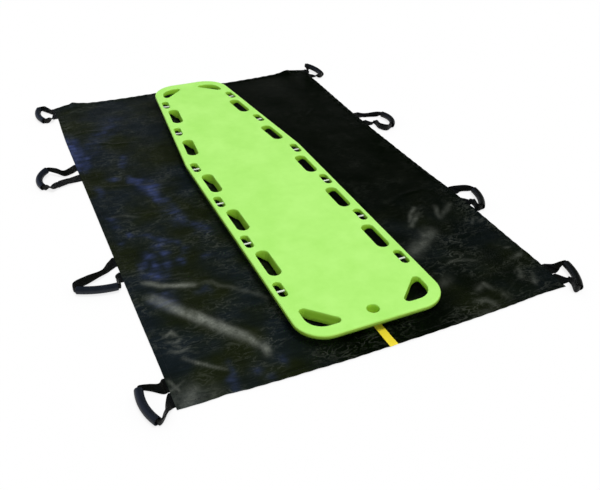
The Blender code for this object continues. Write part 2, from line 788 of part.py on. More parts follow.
def build_board_shell(axis):
    mesh_data = bmesh.new()
    low, high = add_prism(mesh_data, board_outline(0.0), RIM_BOTTOM, BOARD_TOP)
    for ring, rounding, segments in ((high, RIM_TOP_ROUNDING, 3), (low, RIM_BOTTOM_ROUNDING, 2)):
        ring_set = set(ring)
        edges = [edge for edge in mesh_data.edges if edge.verts[0] in ring_set and edge.verts[1] in ring_set]
        bmesh.ops.bevel(mesh_data, geom=edges, offset=rounding, segments=segments,
                        profile=0.5, affect='EDGES')
    shell = make_object("board_shell", mesh_data, board_material, axis, smooth_angle=40)
    add_boolean(shell, make_cutter("hull", build_hull(), axis), 'UNION')
    for side, name in ((-1, "runner_left"), (1, "runner_right")):
        runner_data = bmesh.new()
        add_prism(runner_data, runner_outline(side), RUNNER_BOTTOM, BOARD_BOTTOM + BOARD_WALL / 2)
        add_boolean(shell, make_cutter(name, runner_data, axis), 'UNION')
    openings = bmesh.new()
    add_slots(openings, HANDHOLD_STATIONS, HANDHOLD_LENGTH, HANDHOLD_WIDTH, HANDHOLD_INSET)
    add_slots(openings, PIN_SLOT_STATIONS, PIN_SLOT_LENGTH, PIN_SLOT_WIDTH, PIN_SLOT_INSET)
    add_corner_holds(openings)
    hole_centre = board_place(0.0, -BOARD_LENGTH / 2 + HANGING_HOLE_END_WALL + HANGING_HOLE_DIAMETER / 2)
    add_prism(openings, circle_outline(hole_centre, HANGING_HOLE_DIAMETER / 2, 2 * ROD_SIDES),
              BOARD_BOTTOM - CUT_MARGIN, BOARD_TOP + CUT_MARGIN)
    add_boolean(shell, make_cutter("board_openings", openings, axis), 'DIFFERENCE')
    sockets = bmesh.new()
    for station in PIN_SLOT_STATIONS:
        for side in (-1, 1):
            start, end = pin_ends(station, side, PIN_SOCKET_DEPTH + TOUCH_GAP)
            add_rod(sockets, start, end, PIN_DIAMETER / 2 + TOUCH_GAP)
    add_boolean(shell, make_cutter("pin_sockets", sockets, axis), 'DIFFERENCE')
    cavity = bmesh.new()
    add_prism(cavity, core_outline(0.0), BOARD_BOTTOM + BOARD_WALL, BOARD_TOP - BOARD_WALL)
    add_boolean(shell, make_cutter("foam_cavity", cavity, axis), 'DIFFERENCE')
    plug_hole = bmesh.new()
    add_prism(plug_hole, circle_outline(plug_centre(), PLUG_DIAMETER / 2 + TOUCH_GAP, 2 * ROD_SIDES),
              BOARD_BOTTOM - CUT_MARGIN, BOARD_BOTTOM + BOARD_WALL + CUT_MARGIN)
    add_boolean(shell, make_cutter("plug_hole", plug_hole, axis), 'DIFFERENCE')
    return shell


def build_board(root_axis):
    lift_axis = make_axis("board_lift", (BOARD_CENTRE[0], BOARD_CENTRE[1], BOARD_BOTTOM), root_axis)
    build_board_shell(lift_axis)
    build_foam(lift_axis)
    build_pins("pin_left", -1, lift_axis)
    build_pins("pin_right", 1, lift_axis)


def build_sheet(root_axis):
    build_centre_panel(root_axis)
    build_centre_stripe(root_axis)
    wing_axes = {}
    for side, name in ((-1, "left"), (1, "right")):
        wing_axes[side] = make_axis("fold_" + name, (side * PANEL_HALF, 0.0, FOLD_HEIGHT), root_axis)
        build_wing("sheet_wing_" + name, side, wing_axes[side])
    return wing_axes


clear_scene()
sheet_material = make_material("coated sheet", (0.012, 0.013, 0.016), 0.35)
stripe_material = make_material("yellow tape", (0.92, 0.76, 0.05), 0.45)
webbing_material = make_material("nylon webbing", (0.008, 0.008, 0.009), 0.75)
hose_material = make_material("rubber hose", (0.014, 0.016, 0.022), 0.45)
board_material = make_material("moulded polyethylene", (0.42, 0.88, 0.18), 0.45)
pin_material = make_material("white pin", (0.85, 0.87, 0.82), 0.35)
foam_material = make_material("foam", (0.75, 0.66, 0.42), 0.9)
cutter_material = make_material("cutter", (1.0, 0.2, 0.1), 0.8)

root = make_axis("stretcher", (0.0, 0.0, 0.0))
wings = build_sheet(root)
build_handles(wings)
build_board(root)
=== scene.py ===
# Soft stretcher: a coated carrying sheet with eight webbing handles, and the spine board lying on it.
# Metres, +Z up. -Y is the head end and +Y the foot end; left is -X, as seen from the head end.
import math

import bmesh
import bpy
import numpy as np
from mathutils import Matrix, Vector, geometry, kdtree


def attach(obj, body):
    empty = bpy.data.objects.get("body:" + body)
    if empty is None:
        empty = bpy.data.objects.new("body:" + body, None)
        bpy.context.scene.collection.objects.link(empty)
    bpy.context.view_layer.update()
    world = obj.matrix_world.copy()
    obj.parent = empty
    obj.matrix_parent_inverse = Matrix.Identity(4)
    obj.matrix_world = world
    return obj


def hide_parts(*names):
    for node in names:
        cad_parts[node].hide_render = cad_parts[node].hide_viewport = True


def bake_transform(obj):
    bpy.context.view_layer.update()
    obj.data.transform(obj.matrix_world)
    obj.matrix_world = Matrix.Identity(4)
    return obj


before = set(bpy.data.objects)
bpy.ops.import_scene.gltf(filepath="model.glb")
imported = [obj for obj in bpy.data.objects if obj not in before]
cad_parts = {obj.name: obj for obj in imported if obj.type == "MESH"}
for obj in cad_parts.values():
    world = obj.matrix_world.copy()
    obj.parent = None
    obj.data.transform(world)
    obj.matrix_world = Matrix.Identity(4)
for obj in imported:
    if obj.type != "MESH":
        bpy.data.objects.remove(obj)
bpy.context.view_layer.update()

scene = bpy.context.scene

# Camera, at the photograph's place
camera = {
    "place": (-0.8493, -2.1463, 1.3199),
    "azimuth": -25.2345,
    "elevation": 34.912,
    "roll": 0.9587,
    "lens": 42.673,
    "sensor": 36.0,
}


def cameraAxes():
    # the directions that are right, up and backward in the picture
    azimuth, elevation, roll = (math.radians(camera[key]) for key in ("azimuth", "elevation", "roll"))
    back = Vector((math.sin(azimuth) * math.cos(elevation), -math.cos(azimuth) * math.cos(elevation),
                   math.sin(elevation)))
    level = Vector((math.cos(azimuth), math.sin(azimuth), 0.0))
    rise = back.cross(level)
    right = math.cos(roll) * level + math.sin(roll) * rise
    return right, -math.sin(roll) * level + math.cos(roll) * rise, back


def makeCamera():
    data = bpy.data.cameras.new("photoCamera")
    data.lens = camera["lens"]
    data.sensor_width = camera["sensor"]
    data.clip_end = 50.0
    item = bpy.data.objects.new("photoCamera", data)
    turn = Matrix(cameraAxes()).transposed().to_4x4()
    item.matrix_world = Matrix.Translation(camera["place"]) @ turn
    scene.collection.objects.link(item)
    scene.camera = item


makeCamera()
scene.view_settings.view_transform = "Standard"


# Small helpers

def linear(hexColour):
    # an sRGB hex colour as linear red, green, blue and alpha
    values = []
    for start in (1, 3, 5):
        share = int(hexColour[start:start + 2], 16) / 255
        values.append(share / 12.92 if share <= 0.04045 else ((share + 0.055) / 1.055) ** 2.4)
    return (*values, 1.0)


def feed(tree, node, inputs):
    # an input is a plain value, or the output socket that feeds it
    for key, value in inputs.items():
        if isinstance(value, bpy.types.NodeSocket):
            tree.links.new(value, node.inputs[key])
        else:
            node.inputs[key].default_value = value


def addNode(tree, kind, settings=None, inputs=None):
    node = tree.nodes.new(kind)
    for key, value in (settings or {}).items():
        setattr(node, key, value)
    feed(tree, node, inputs or {})
    return node


def noise(tree, place, scale, detail=2.0, roughness=0.5, distortion=0.0, output="Fac"):
    return addNode(tree, "ShaderNodeTexNoise", inputs={
        "Vector": place, "Scale": scale, "Detail": detail, "Roughness": roughness,
        "Distortion": distortion}).outputs[output]


def stretched(tree, place, scale, turn=0.0):
    # a place scaled along each axis and turned by degrees, so that a pattern becomes streaks
    return addNode(tree, "ShaderNodeMapping", inputs={
        "Vector": place, "Rotation": (0.0, 0.0, math.radians(turn)), "Scale": scale}).outputs["Vector"]


def spread(tree, value, low, high, lowest=0.0, highest=1.0, ease="LINEAR"):
    return addNode(tree, "ShaderNodeMapRange", {"interpolation_type": ease}, {
        "Value": value, "From Min": low, "From Max": high,
        "To Min": lowest, "To Max": highest}).outputs["Result"]


def reckon(tree, operation, *values):
    return addNode(tree, "ShaderNodeMath", {"operation": operation}, dict(enumerate(values))).outputs[0]


def mixColours(tree, share, first, second):
    # each colour is a hex colour, linear values or a socket
    first, second = (linear(colour) if isinstance(colour, str) else colour for colour in (first, second))
    return addNode(tree, "ShaderNodeMix", {"data_type": "RGBA"},
                   {"Factor": share, "A": first, "B": second}).outputs["Result"]


def relief(tree, height, strength, depth, under=None):
    # a bump, lying on another one where under is given
    inputs = {"Strength": strength, "Distance": depth, "Height": height}
    if under is not None:
        inputs["Normal"] = under
    return addNode(tree, "ShaderNodeBump", inputs=inputs).outputs[0]


def namedUv(tree, name):
    return addNode(tree, "ShaderNodeUVMap", {"uv_map": name}).outputs["UV"]


def painted(tree, name):
    return addNode(tree, "ShaderNodeAttribute", {"attribute_name": name}).outputs["Fac"]


def ownPlace(tree):
    return addNode(tree, "ShaderNodeTexCoord").outputs["Object"]


def startMaterial(name):
    material = bpy.data.materials.new(name)
    material.use_nodes = True
    tree = material.node_tree
    tree.nodes.clear()
    shader = addNode(tree, "ShaderNodeBsdfPrincipled")
    addNode(tree, "ShaderNodeOutputMaterial", inputs={"Surface": shader.outputs[0]})
    return material, tree, shader


def makeObject(name, vertices, faces, material, smooth=True):
    mesh = bpy.data.meshes.new(name)
    mesh.from_pydata([tuple(vertex) for vertex in vertices], [], faces)
    mesh.validate()
    shape = bmesh.new()
    shape.from_mesh(mesh)
    bmesh.ops.recalc_face_normals(shape, faces=shape.faces)
    shape.to_mesh(mesh)
    shape.free()
    mesh.materials.append(material)
    if smooth:
        mesh.shade_smooth()
    item = bpy.data.objects.new(name, mesh)
    scene.collection.objects.link(item)
    return item


def addUv(item, name, values):
    # a UV layer with one pair of values for each vertex
    layer = item.data.uv_layers.new(name=name)
    corners = np.zeros(len(item.data.loops), int)
    item.data.loops.foreach_get("vertex_index", corners)
    layer.data.foreach_set("uv", np.asarray(values)[corners].astype(np.float32).reshape(-1))


def tubeFaces(rings, sides, start=0, closed=False):
    # quads between rings of points that follow one another
    faces = []
    for row in range(rings if closed else rings - 1):
        here, after = start + row * sides, start + (row + 1) % rings * sides
        for column in range(sides):
            following = (column + 1) % sides
            faces.append((here + column, here + following, after + following, after + column))
    return faces


def circleOutline(radius, y, segments=32):
    angles = 2 * np.pi * np.arange(segments) / segments
    return np.stack([np.cos(angles), np.sin(angles)], -1) * radius + (0.0, y)


def easeStep(value, low, high):
    share = np.clip((value - low) / (high - low), 0.0, 1.0)
    return share * share * (3 - 2 * share)


lattice = {"seed": 4127, "layers": 11, "cells": 64}
noiseLattice = np.random.default_rng(lattice["seed"]).random(
    (lattice["layers"], lattice["cells"], lattice["cells"]))
farAway = 9.0


def valueNoise(x, y, layer):
    # smooth noise from -1 to 1 on a lattice of unit cells
    column = np.floor(x).astype(int)
    row = np.floor(y).astype(int)
    across = x - column
    along = y - row
    across = across ** 3 * (across * (across * 6 - 15) + 10)
    along = along ** 3 * (along * (along * 6 - 15) + 10)
    grid = noiseLattice[layer]
    cells = lattice["cells"]
    low = grid[row % cells, column % cells] * (1 - across) + grid[row % cells, (column + 1) % cells] * across
    high = (grid[(row + 1) % cells, column % cells] * (1 - across)
            + grid[(row + 1) % cells, (column + 1) % cells] * across)
    return (low * (1 - along) + high * along) * 2 - 1


# Handles, the same routes as the CAD's: points are (outward, along, lift, flat, tilt) from the sheet's
# edge and the handle's centre; the grip is (outward, along, heading, bend, first lift, last lift)
handles = {
    "near_left": {
        "side": -1, "along": -0.8915, "corner": True,
        "first": [(0.019, 0.016, 0.002, 0.55, 19), (0.043, 0.027, 0.003, 0.34, 55)],
        "grip": (0.072, -0.032, -98, -38, 0.002, 0.002),
        "last": [(0.036, -0.084, 0.003, 0.50, 62), (0.020, -0.050, 0.001, 0.80, 20)],
    },
    "lower_left": {
        "side": -1, "along": -0.335, "corner": False,
        "first": [(0.024, 0.018, 0.003, 0.67, 13), (0.049, -0.015, 0.009, 0.30, 60),
                  (0.102, -0.037, 0.005, 0.50, 76), (0.142, -0.052, 0.004, 0.50, 90)],
        "grip": (0.082, -0.092, -164, -28, 0.003, 0.005),
        "last": [(0.016, -0.082, 0.006, 0.56, 62), (0.018, -0.055, 0.003, 0.90, 18)],
    },
    "upper_left": {
        "side": -1, "along": 0.325, "corner": False,
        "first": [(0.022, 0.012, 0.004, 0.60, 21), (0.053, -0.008, 0.006, 0.38, 54),
                  (0.076, 0.010, 0.010, 0.42, 87)],
        "grip": (0.142, -0.019, -75, -79, 0.009, 0.001),
        "last": [(0.113, -0.085, 0.001, 0.9, 21), (0.084, -0.064, 0.002, 1.0, 5),
                 (0.041, -0.051, 0.001, 1.0, 6)],
    },
    "far_left": {
        "side": -1, "along": 0.8915, "corner": True,
        "first": [(0.018, 0.022, 0.005, 0.63, 21), (0.034, 0.040, 0.003, 0.46, 75)],
        "grip": (0.067, -0.020, -92, -54, 0.005, 0.001),
        "last": [(0.033, -0.082, 0.001, 0.58, 62), (0.014, -0.054, 0.001, 0.9, 14)],
    },
    "near_right": {
        "side": 1, "along": -0.8915, "corner": True,
        "first": [(0.019, 0.017, 0.002, 0.54, 18), (0.043, 0.021, 0.002, 0.34, 66)],
        "grip": (0.042, -0.044, -113, -32, 0.002, 0.002),
        "last": [(-0.004, -0.099, 0.004, 0.5, 90), (0.012, -0.064, 0.004, 0.55, 73),
                  (0.013, -0.038, 0.002, 0.80, 22)],
    },
    "lower_right": {
        "side": 1, "along": -0.385, "corner": False,
        "first": [(0.022, 0.034, 0.003, 0.56, 18), (0.052, 0.018, 0.003, 0.40, 60)],
        "grip": (0.050, -0.061, -113, -36, 0.002, 0.004),
        "last": [(0.003, -0.111, 0.003, 0.50, 90), (0.010, -0.078, 0.004, 0.50, 80),
                  (0.012, -0.051, 0.004, 0.71, 23)],
    },
    "upper_right": {
        "side": 1, "along": 0.325, "corner": False,
        "first": [(0.022, 0.022, 0.001, 0.50, 12), (0.056, 0.006, 0.002, 0.42, 35)],
        "grip": (0.093, -0.074, -98, -75, 0.004, 0.003),
        "last": [(0.034, -0.142, 0.004, 0.50, 88), (0.014, -0.118, 0.005, 0.50, 85),
                 (0.018, -0.072, 0.003, 0.62, 50)],
    },
    "far_right": {
        "side": 1, "along": 0.8915, "corner": True,
        "first": [(0.018, 0.034, 0.001, 0.44, 5), (0.021, 0.065, 0.003, 0.46, 77)],
        "grip": (0.041, -0.004, -76, -44, 0.011, 0.003),
        "last": [(0.031, -0.075, 0.003, 0.53, 68), (0.020, -0.058, 0.004, 0.77, 23)],
    },
}
webbing = {
    "width": 0.050, "thickness": 0.0018, "rolledWidth": 0.015, "rolledThickness": 0.006,
    "tailLength": 0.065, "exitLead": 0.0055, "hingeGap": 0.0005, "cornerGap": 0.004, "middleGap": 0.034,
    "stepsPerKey": 8, "layerGap": 0.0003, "flapOpening": 11.0, "cupping": 0.0009,
    "turnLength": 0.004, "flapEase": 0.012, "leastFlap": 0.0005, "floorGap": 0.00005,
}


def tailOffset(handle):
    gap = webbing["cornerGap"] if handle["corner"] else webbing["middleGap"]
    return (webbing["width"] + gap) / 2


# Materials

def coatedSheetMaterial():
    # vinyl knife-coated on polyester cloth: nearly black, satin, with a painted haze of reflected light, and
    # creases from folding that catch the light, in bumps and painted highlights, most of them across the left
    # half
    material, tree, shader = startMaterial("knife-coated vinyl on polyester")
    place = namedUv(tree, "plan")
    creased = painted(tree, "creasing")
    # streaks about 13 mm apart, lying across the sheet
    streak = noise(tree, stretched(tree, place, (9.0, 78.0, 1.0), 6.0), 1.0, 3.0, 0.6)
    cloud = noise(tree, place, 9.0, 5.0, 0.6)
    scuffAndGlintSpeckle = noise(tree, place, 120.0, 4.0, 0.7)

    def patchy(name, pattern, low, high):
        # a painted share, broken up by a pattern
        return reckon(tree, "MULTIPLY", painted(tree, name), spread(tree, pattern, 0.3, 0.7, low, high))

    streaky = spread(tree, streak, 0.3, 0.7, 0.62, 1.22)
    haze = reckon(tree, "MULTIPLY", patchy("haze", cloud, 0.70, 1.15), streaky)
    # the painted haze of reflected light is olive in some patches and slate in others
    drift = noise(tree, place, 4.2, 3.0)
    reflectedHazeTint = mixColours(tree, spread(tree, drift, 0.42, 0.60), "#1A1F0F", "#161D22")
    # painted reflection: the haze lightens the coating as reflected light would
    colour = mixColours(tree, haze, "#030702", reflectedHazeTint)
    # painted reflection: a blue sheen of window light
    colour = mixColours(tree, patchy("sheen", streak, 0.25, 1.35), colour, "#394471")
    # painted highlights: grey glints along the creases
    colour = mixColours(tree, patchy("glint", scuffAndGlintSpeckle, 0.55, 1.25), colour, "#84887F")
    # small wrinkles 21 mm apart, with painted highlights along their crests
    wrinkle = noise(tree, stretched(tree, place, (22.0, 48.0, 1.0), -32.0), 1.0, 3.0, 0.55, 0.9)
    fromCrest = reckon(tree, "ABSOLUTE", reckon(tree, "SUBTRACT", wrinkle, 0.5))
    crest = reckon(tree, "MULTIPLY", spread(tree, fromCrest, 0.0, 0.045, 1.0, 0.0), creased)
    crestHighlight = reckon(tree, "MULTIPLY", crest, spread(tree, cloud, 0.42, 0.66, 0.0, 0.34))
    # crumples about 9 mm across: ridges along the cell borders
    bent = noise(tree, place, 60.0, output="Color")
    warped = addNode(tree, "ShaderNodeMix", {"data_type": "VECTOR"}, {"Factor": 0.012, "A": place, "B": bent})
    crumple = addNode(tree, "ShaderNodeTexVoronoi", {"feature": "DISTANCE_TO_EDGE"},
                      {"Vector": warped.outputs["Result"], "Scale": 110.0}).outputs["Distance"]
    ridges = reckon(tree, "MULTIPLY_ADD", spread(tree, crumple, 0.0, 0.18, 1.0, 0.0), 0.35, streak)
    wide = relief(tree, reckon(tree, "MULTIPLY", ridges, creased), 0.6, 0.0010)
    # the flat stretches shine less than the creased ones; the cloth's threads are 0.5 mm apart, and
    # drawn at 1.6 mm so that they show
    feed(tree, shader, {
        "Base Color": mixColours(tree, crestHighlight, colour, "#6E7268"),
        "Specular IOR Level": spread(tree, creased, 0.0, 1.0, 0.04, 0.15),
        "Specular Tint": linear("#B4F080"),
        "Roughness": spread(tree, scuffAndGlintSpeckle, 0.3, 0.7, 0.36, 0.46),
        "Normal": relief(tree, noise(tree, place, 620.0, 1.0), 0.10, 0.0004, wide)})
    return material


def tapeMaterial():
    # calendered vinyl tape, pressed on by hand: bright yellow, slightly glossy, dusty in patches
    material, tree, shader = startMaterial("calendered vinyl tape")
    place = ownPlace(tree)
    feed(tree, shader, {
        "Base Color": mixColours(tree, noise(tree, place, 24.0, 5.0), "#FAE63C", "#EFD935"),
        "Roughness": 0.42, "Normal": relief(tree, noise(tree, place, 90.0, 3.0), 0.3, 0.0006)})
    return material


def webbingMaterial():
    # woven nylon: black, with ribs across the width and a soft sheen off the filaments
    material, tree, shader = startMaterial("woven nylon webbing")
    strip = namedUv(tree, "weave")

    def ridges(scale, direction, distortion):
        return addNode(tree, "ShaderNodeTexWave", {"bands_direction": direction}, {
            "Vector": stretched(tree, strip, scale), "Scale": 0.314, "Distortion": distortion}).outputs["Fac"]

    # ribs 1.6 mm apart along the webbing, and warp lines 1.0 mm apart across it
    rib = ridges((1.0, 1000.0 / 1.6, 1.0), "Y", 0.6)
    warp = ridges((1000.0, 200.0, 1.0), "X", 0.8)
    weave = reckon(tree, "MULTIPLY_ADD", warp, 0.5, rib)
    feed(tree, shader, {
        "Base Color": mixColours(tree, weave, "#020302", "#0B0D09"), "Roughness": 0.5,
        "Sheen Weight": 0.05, "Sheen Roughness": 0.4, "Specular IOR Level": 0.15,
        "Normal": relief(tree, weave, 0.6, 0.0005)})
    return material


def hoseMaterial(name, dark, bloomed):
    # extruded rubber hose: satin, with faint lines along it from the die and some bloom
    material, tree, shader = startMaterial(name)
    bloom = noise(tree, ownPlace(tree), 60.0, 5.0)
    lines = noise(tree, stretched(tree, namedUv(tree, "weave"), (900.0, 12.0, 1.0)), 1.0)
    feed(tree, shader, {
        "Base Color": mixColours(tree, bloom, dark, bloomed), "Specular IOR Level": 0.25,
        "Roughness": spread(tree, bloom, 0.3, 0.7, 0.38, 0.52), "Normal": relief(tree, lines, 0.25, 0.0003)})
    return material


def polyethyleneMaterial():
    # rotationally moulded polyethylene: lime green, cloudy in the skin, a fine grain from the mould,
    # and slightly paler where handling has rubbed it
    material, tree, shader = startMaterial("rotationally moulded polyethylene")
    place = ownPlace(tree)
    cloud = noise(tree, place, 11.0, 6.0, 0.62)
    colour = mixColours(tree, spread(tree, cloud, 0.35, 0.65), "#B0F370", "#BAF97C")
    # painted shade: a darker, more saturated green down the sides, most of all down the rim's outer side
    height = addNode(tree, "ShaderNodeSeparateXYZ", inputs={0: place}).outputs["Z"]
    for startHeight, endHeight, holeShadeColour, rimShadeColour in (
            (0.0476, 0.0430, "#BAF650", "#87B226"), (0.0430, 0.0320, "#AEEA40", "#4A7118")):
        shadeTone = mixColours(tree, painted(tree, "outerSide"), holeShadeColour, rimShadeColour)
        colour = mixColours(tree, spread(tree, height, startHeight, endHeight), colour, shadeTone)
    # mould grain 1.2 mm across, and slow sinks 15 mm across
    grain = relief(tree, noise(tree, place, 820.0), 0.22, 0.0005)
    feed(tree, shader, {
        "Base Color": colour, "Roughness": spread(tree, cloud, 0.3, 0.7, 0.44, 0.56),
        "Normal": relief(tree, noise(tree, place, 66.0), 0.25, 0.0010, grain)})
    return material


def pinMaterial():
    # turned acetal rod: white, smooth, with fine lathe lines
    material, tree, shader = startMaterial("turned acetal rod")
    cloud = noise(tree, ownPlace(tree), 300.0, 3.0)
    feed(tree, shader, {"Base Color": mixColours(tree, cloud, "#E4EBDD", "#F2F5EE"),
                        "Roughness": 0.35, "Normal": relief(tree, cloud, 0.15, 0.0002)})
    return material


def foamMaterial():
    # foamed-in-place polyurethane: cream, open at the skin, dull
    material, tree, shader = startMaterial("foamed polyurethane")
    cells = addNode(tree, "ShaderNodeTexVoronoi",
                    inputs={"Vector": ownPlace(tree), "Scale": 700.0}).outputs["Distance"]
    feed(tree, shader, {"Base Color": mixColours(tree, cells, "#D8C283", "#EBDCA8"),
                        "Roughness": 0.9, "Normal": relief(tree, cells, 0.6, 0.0006)})
    return material


def threadMaterial():
    # bonded polyester sewing thread: black, slightly waxy
    material, tree, shader = startMaterial("bonded polyester thread")
    twist = noise(tree, ownPlace(tree), 1500.0)
    feed(tree, shader, {"Base Color": mixColours(tree, twist, "#141517", "#2B2D31"), "Roughness": 0.5})
    return material


sheetCoating = coatedSheetMaterial()
yellowTape = tapeMaterial()
nylonWebbing = webbingMaterial()
# the left hoses' bluish grey is painted window light; the right hoses keep their plain black
windowLightPaintedHose = hoseMaterial("extruded rubber hose with bloom", "#10141A", "#1C222B")
blackHose = hoseMaterial("extruded rubber hose", "#070908", "#121512")
limePlastic = polyethyleneMaterial()
whiteRod = pinMaterial()
creamFoam = foamMaterial()
sewingThread = threadMaterial()
print("materials made")

# Sheet. Its edges wander as in the photograph: (place along the edge, shift outward), in metres
sheet = {
    "width": 1.218, "length": 1.907, "thickness": 0.0012, "cell": 0.0062,
    "foldLine": 0.345, "foldReach": 0.060,
    "hemWidth": 0.018, "hemRise": 0.0006, "edgeRound": 0.0005,
    "anchorRamp": 0.022, "anchorLift": 0.0021,
    "nearEdge": [(-0.609, 0.001), (-0.53, 0.004), (-0.48, 0.000), (-0.44, 0.007), (-0.30, 0.013),
                 (-0.15, 0.0175), (0.06, 0.017), (0.24, 0.014), (0.40, 0.009), (0.52, 0.002),
                 (0.609, 0.004)],
    "farEdge": [(-0.609, -0.014), (-0.575, 0.000), (-0.53, 0.004), (-0.48, -0.001), (-0.42, -0.008),
                (-0.30, -0.014), (0.12, -0.016), (0.22, -0.021), (0.36, -0.016), (0.45, -0.010),
                (0.50, -0.003), (0.55, 0.000), (0.609, -0.014)],
    "leftEdge": [(-0.95, 0.0), (-0.78, -0.001), (-0.60, 0.0), (0.60, 0.0), (0.72, -0.003),
                 (0.82, -0.007), (0.95, -0.008)],
    "rightEdge": [(-0.95, -0.012), (-0.86, -0.005), (-0.68, -0.004), (-0.56, 0.000), (-0.50, 0.001),
                  (-0.43, 0.0), (-0.33, 0.0), (-0.24, -0.005), (-0.05, -0.010), (0.14, -0.013),
                  (0.38, -0.014), (0.55, -0.011), (0.80, -0.005), (0.95, -0.005)],
}
runnerZone = {"centre": (-0.014, -0.007), "offset": 0.090, "halfWidth": 0.026, "halfLength": 0.742}

# Folds seen in the photograph: points of the fold's line, its height, and half its width
sheetFolds = [
    ([(-0.560, -0.500), (-0.500, -0.560), (-0.440, -0.650), (-0.385, -0.750), (-0.330, -0.850)],
     0.0065, 0.019),
    ([(-0.560, -0.430), (-0.480, -0.455), (-0.370, -0.510), (-0.250, -0.560)], 0.0035, 0.009),
    ([(-0.560, -0.660), (-0.500, -0.700), (-0.450, -0.735)], 0.0022, 0.006),
    ([(-0.575, -0.640), (-0.520, -0.640), (-0.470, -0.665)], 0.0022, 0.007),
    ([(-0.520, -0.745), (-0.460, -0.790), (-0.400, -0.815)], 0.0020, 0.006),
    ([(-0.560, 0.560), (-0.500, 0.540), (-0.430, 0.500), (-0.360, 0.490)], 0.0016, 0.008),
    ([(-0.590, 0.640), (-0.520, 0.660), (-0.450, 0.640)], 0.0014, 0.007),
    ([(-0.560, 0.180), (-0.470, 0.150), (-0.390, 0.120), (-0.300, 0.110)], 0.0020, 0.009),
    ([(-0.540, -0.030), (-0.450, -0.060), (-0.360, -0.070)], 0.0018, 0.008),
    ([(-0.520, -0.200), (-0.430, -0.215), (-0.350, -0.260)], 0.0016, 0.008),
    ([(0.330, 0.400), (0.370, 0.470), (0.400, 0.520)], 0.0022, 0.006),
    ([(0.400, 0.440), (0.450, 0.500)], 0.0020, 0.006),
    ([(0.330, -0.350), (0.420, -0.300), (0.520, -0.290)], 0.0016, 0.010),
    ([(0.360, -0.640), (0.450, -0.600), (0.560, -0.620)], 0.0018, 0.010),
    ([(0.300, -0.860), (0.420, -0.820), (0.530, -0.850)], 0.0020, 0.012),
]
# Where the coating has a painted blue sheen of reflected light, and painted grey highlights along its
# creases: points of each mark's line, picked in the photograph in its pixels and a few of them shifted
# later, half the mark's width in metres, and its strength. Where the coating shines blue, and where a
# crease has rubbed it grey: points of each mark's line, picked by eye in the photograph in its pixels
# and a few of them shifted after a look at a render, half the mark's width in metres, and its strength
photo = {"width": 600, "height": 490, "clothHeight": 0.004}
sheetSheens = [
    ([(67, 139), (70, 144), (73, 150), (78, 160), (82, 171)], 0.018, 0.9),
    ([(84, 158), (88, 156)], 0.014, 0.8),
    ([(111, 120), (100, 136), (89, 152)], 0.030, 0.28),
    ([(123, 156), (123, 168)], 0.010, 0.35),
    ([(130, 178), (134, 181), (140, 184)], 0.011, 0.95),
    ([(140, 184), (148, 187), (153, 192), (157, 198), (162, 201)], 0.016, 0.75),
    ([(150, 182), (153, 188)], 0.012, 0.5),
    ([(110, 180), (116, 180)], 0.012, 0.55),
    ([(99, 188), (103, 196)], 0.010, 0.35),
    ([(168, 208), (176, 215), (184, 222)], 0.022, 0.42),
    ([(184, 222), (198, 227), (210, 233)], 0.018, 0.3),
    ([(108, 219), (114, 220)], 0.010, 0.5),
    ([(114, 226), (118, 228)], 0.010, 0.3),
    ([(128, 235), (131, 236)], 0.010, 0.5),
    ([(140.4, 235.5), (157.6, 237.8), (172.5, 239), (180.5, 243.5)], 0.010, 0.35),
    ([(160, 241), (160, 247)], 0.014, 0.5),
    ([(165.6, 251), (166, 255)], 0.011, 0.6),
    ([(146, 256.5), (148.5, 258)], 0.014, 0.85),
    ([(155, 264), (158, 268)], 0.012, 0.6),
    ([(148, 274.4), (165.6, 274.8)], 0.015, 0.75),
    ([(142.6, 263), (142.6, 271)], 0.008, 0.4),
    ([(170, 262), (170, 267)], 0.011, 0.45),
    ([(181.7, 256), (181.7, 262)], 0.009, 0.4),
    ([(208, 253), (208, 256)], 0.010, 0.25),
    ([(184, 247), (184, 251)], 0.009, 0.3),
    ([(122, 242), (122, 245)], 0.010, 0.25),
    ([(150, 279), (163, 280)], 0.010, 0.4),
    ([(155, 298), (165, 303), (176, 309)], 0.016, 0.5),
    ([(156, 291), (172, 297)], 0.012, 0.25),
    ([(198, 290), (208, 290)], 0.012, 0.22),
    ([(227, 361), (233, 372), (239, 388)], 0.010, 0.27),
    ([(256, 362), (257, 368)], 0.012, 0.25),
    ([(269, 371), (270, 380)], 0.012, 0.22),
    ([(280.4, 354), (281, 360)], 0.011, 0.22),
]
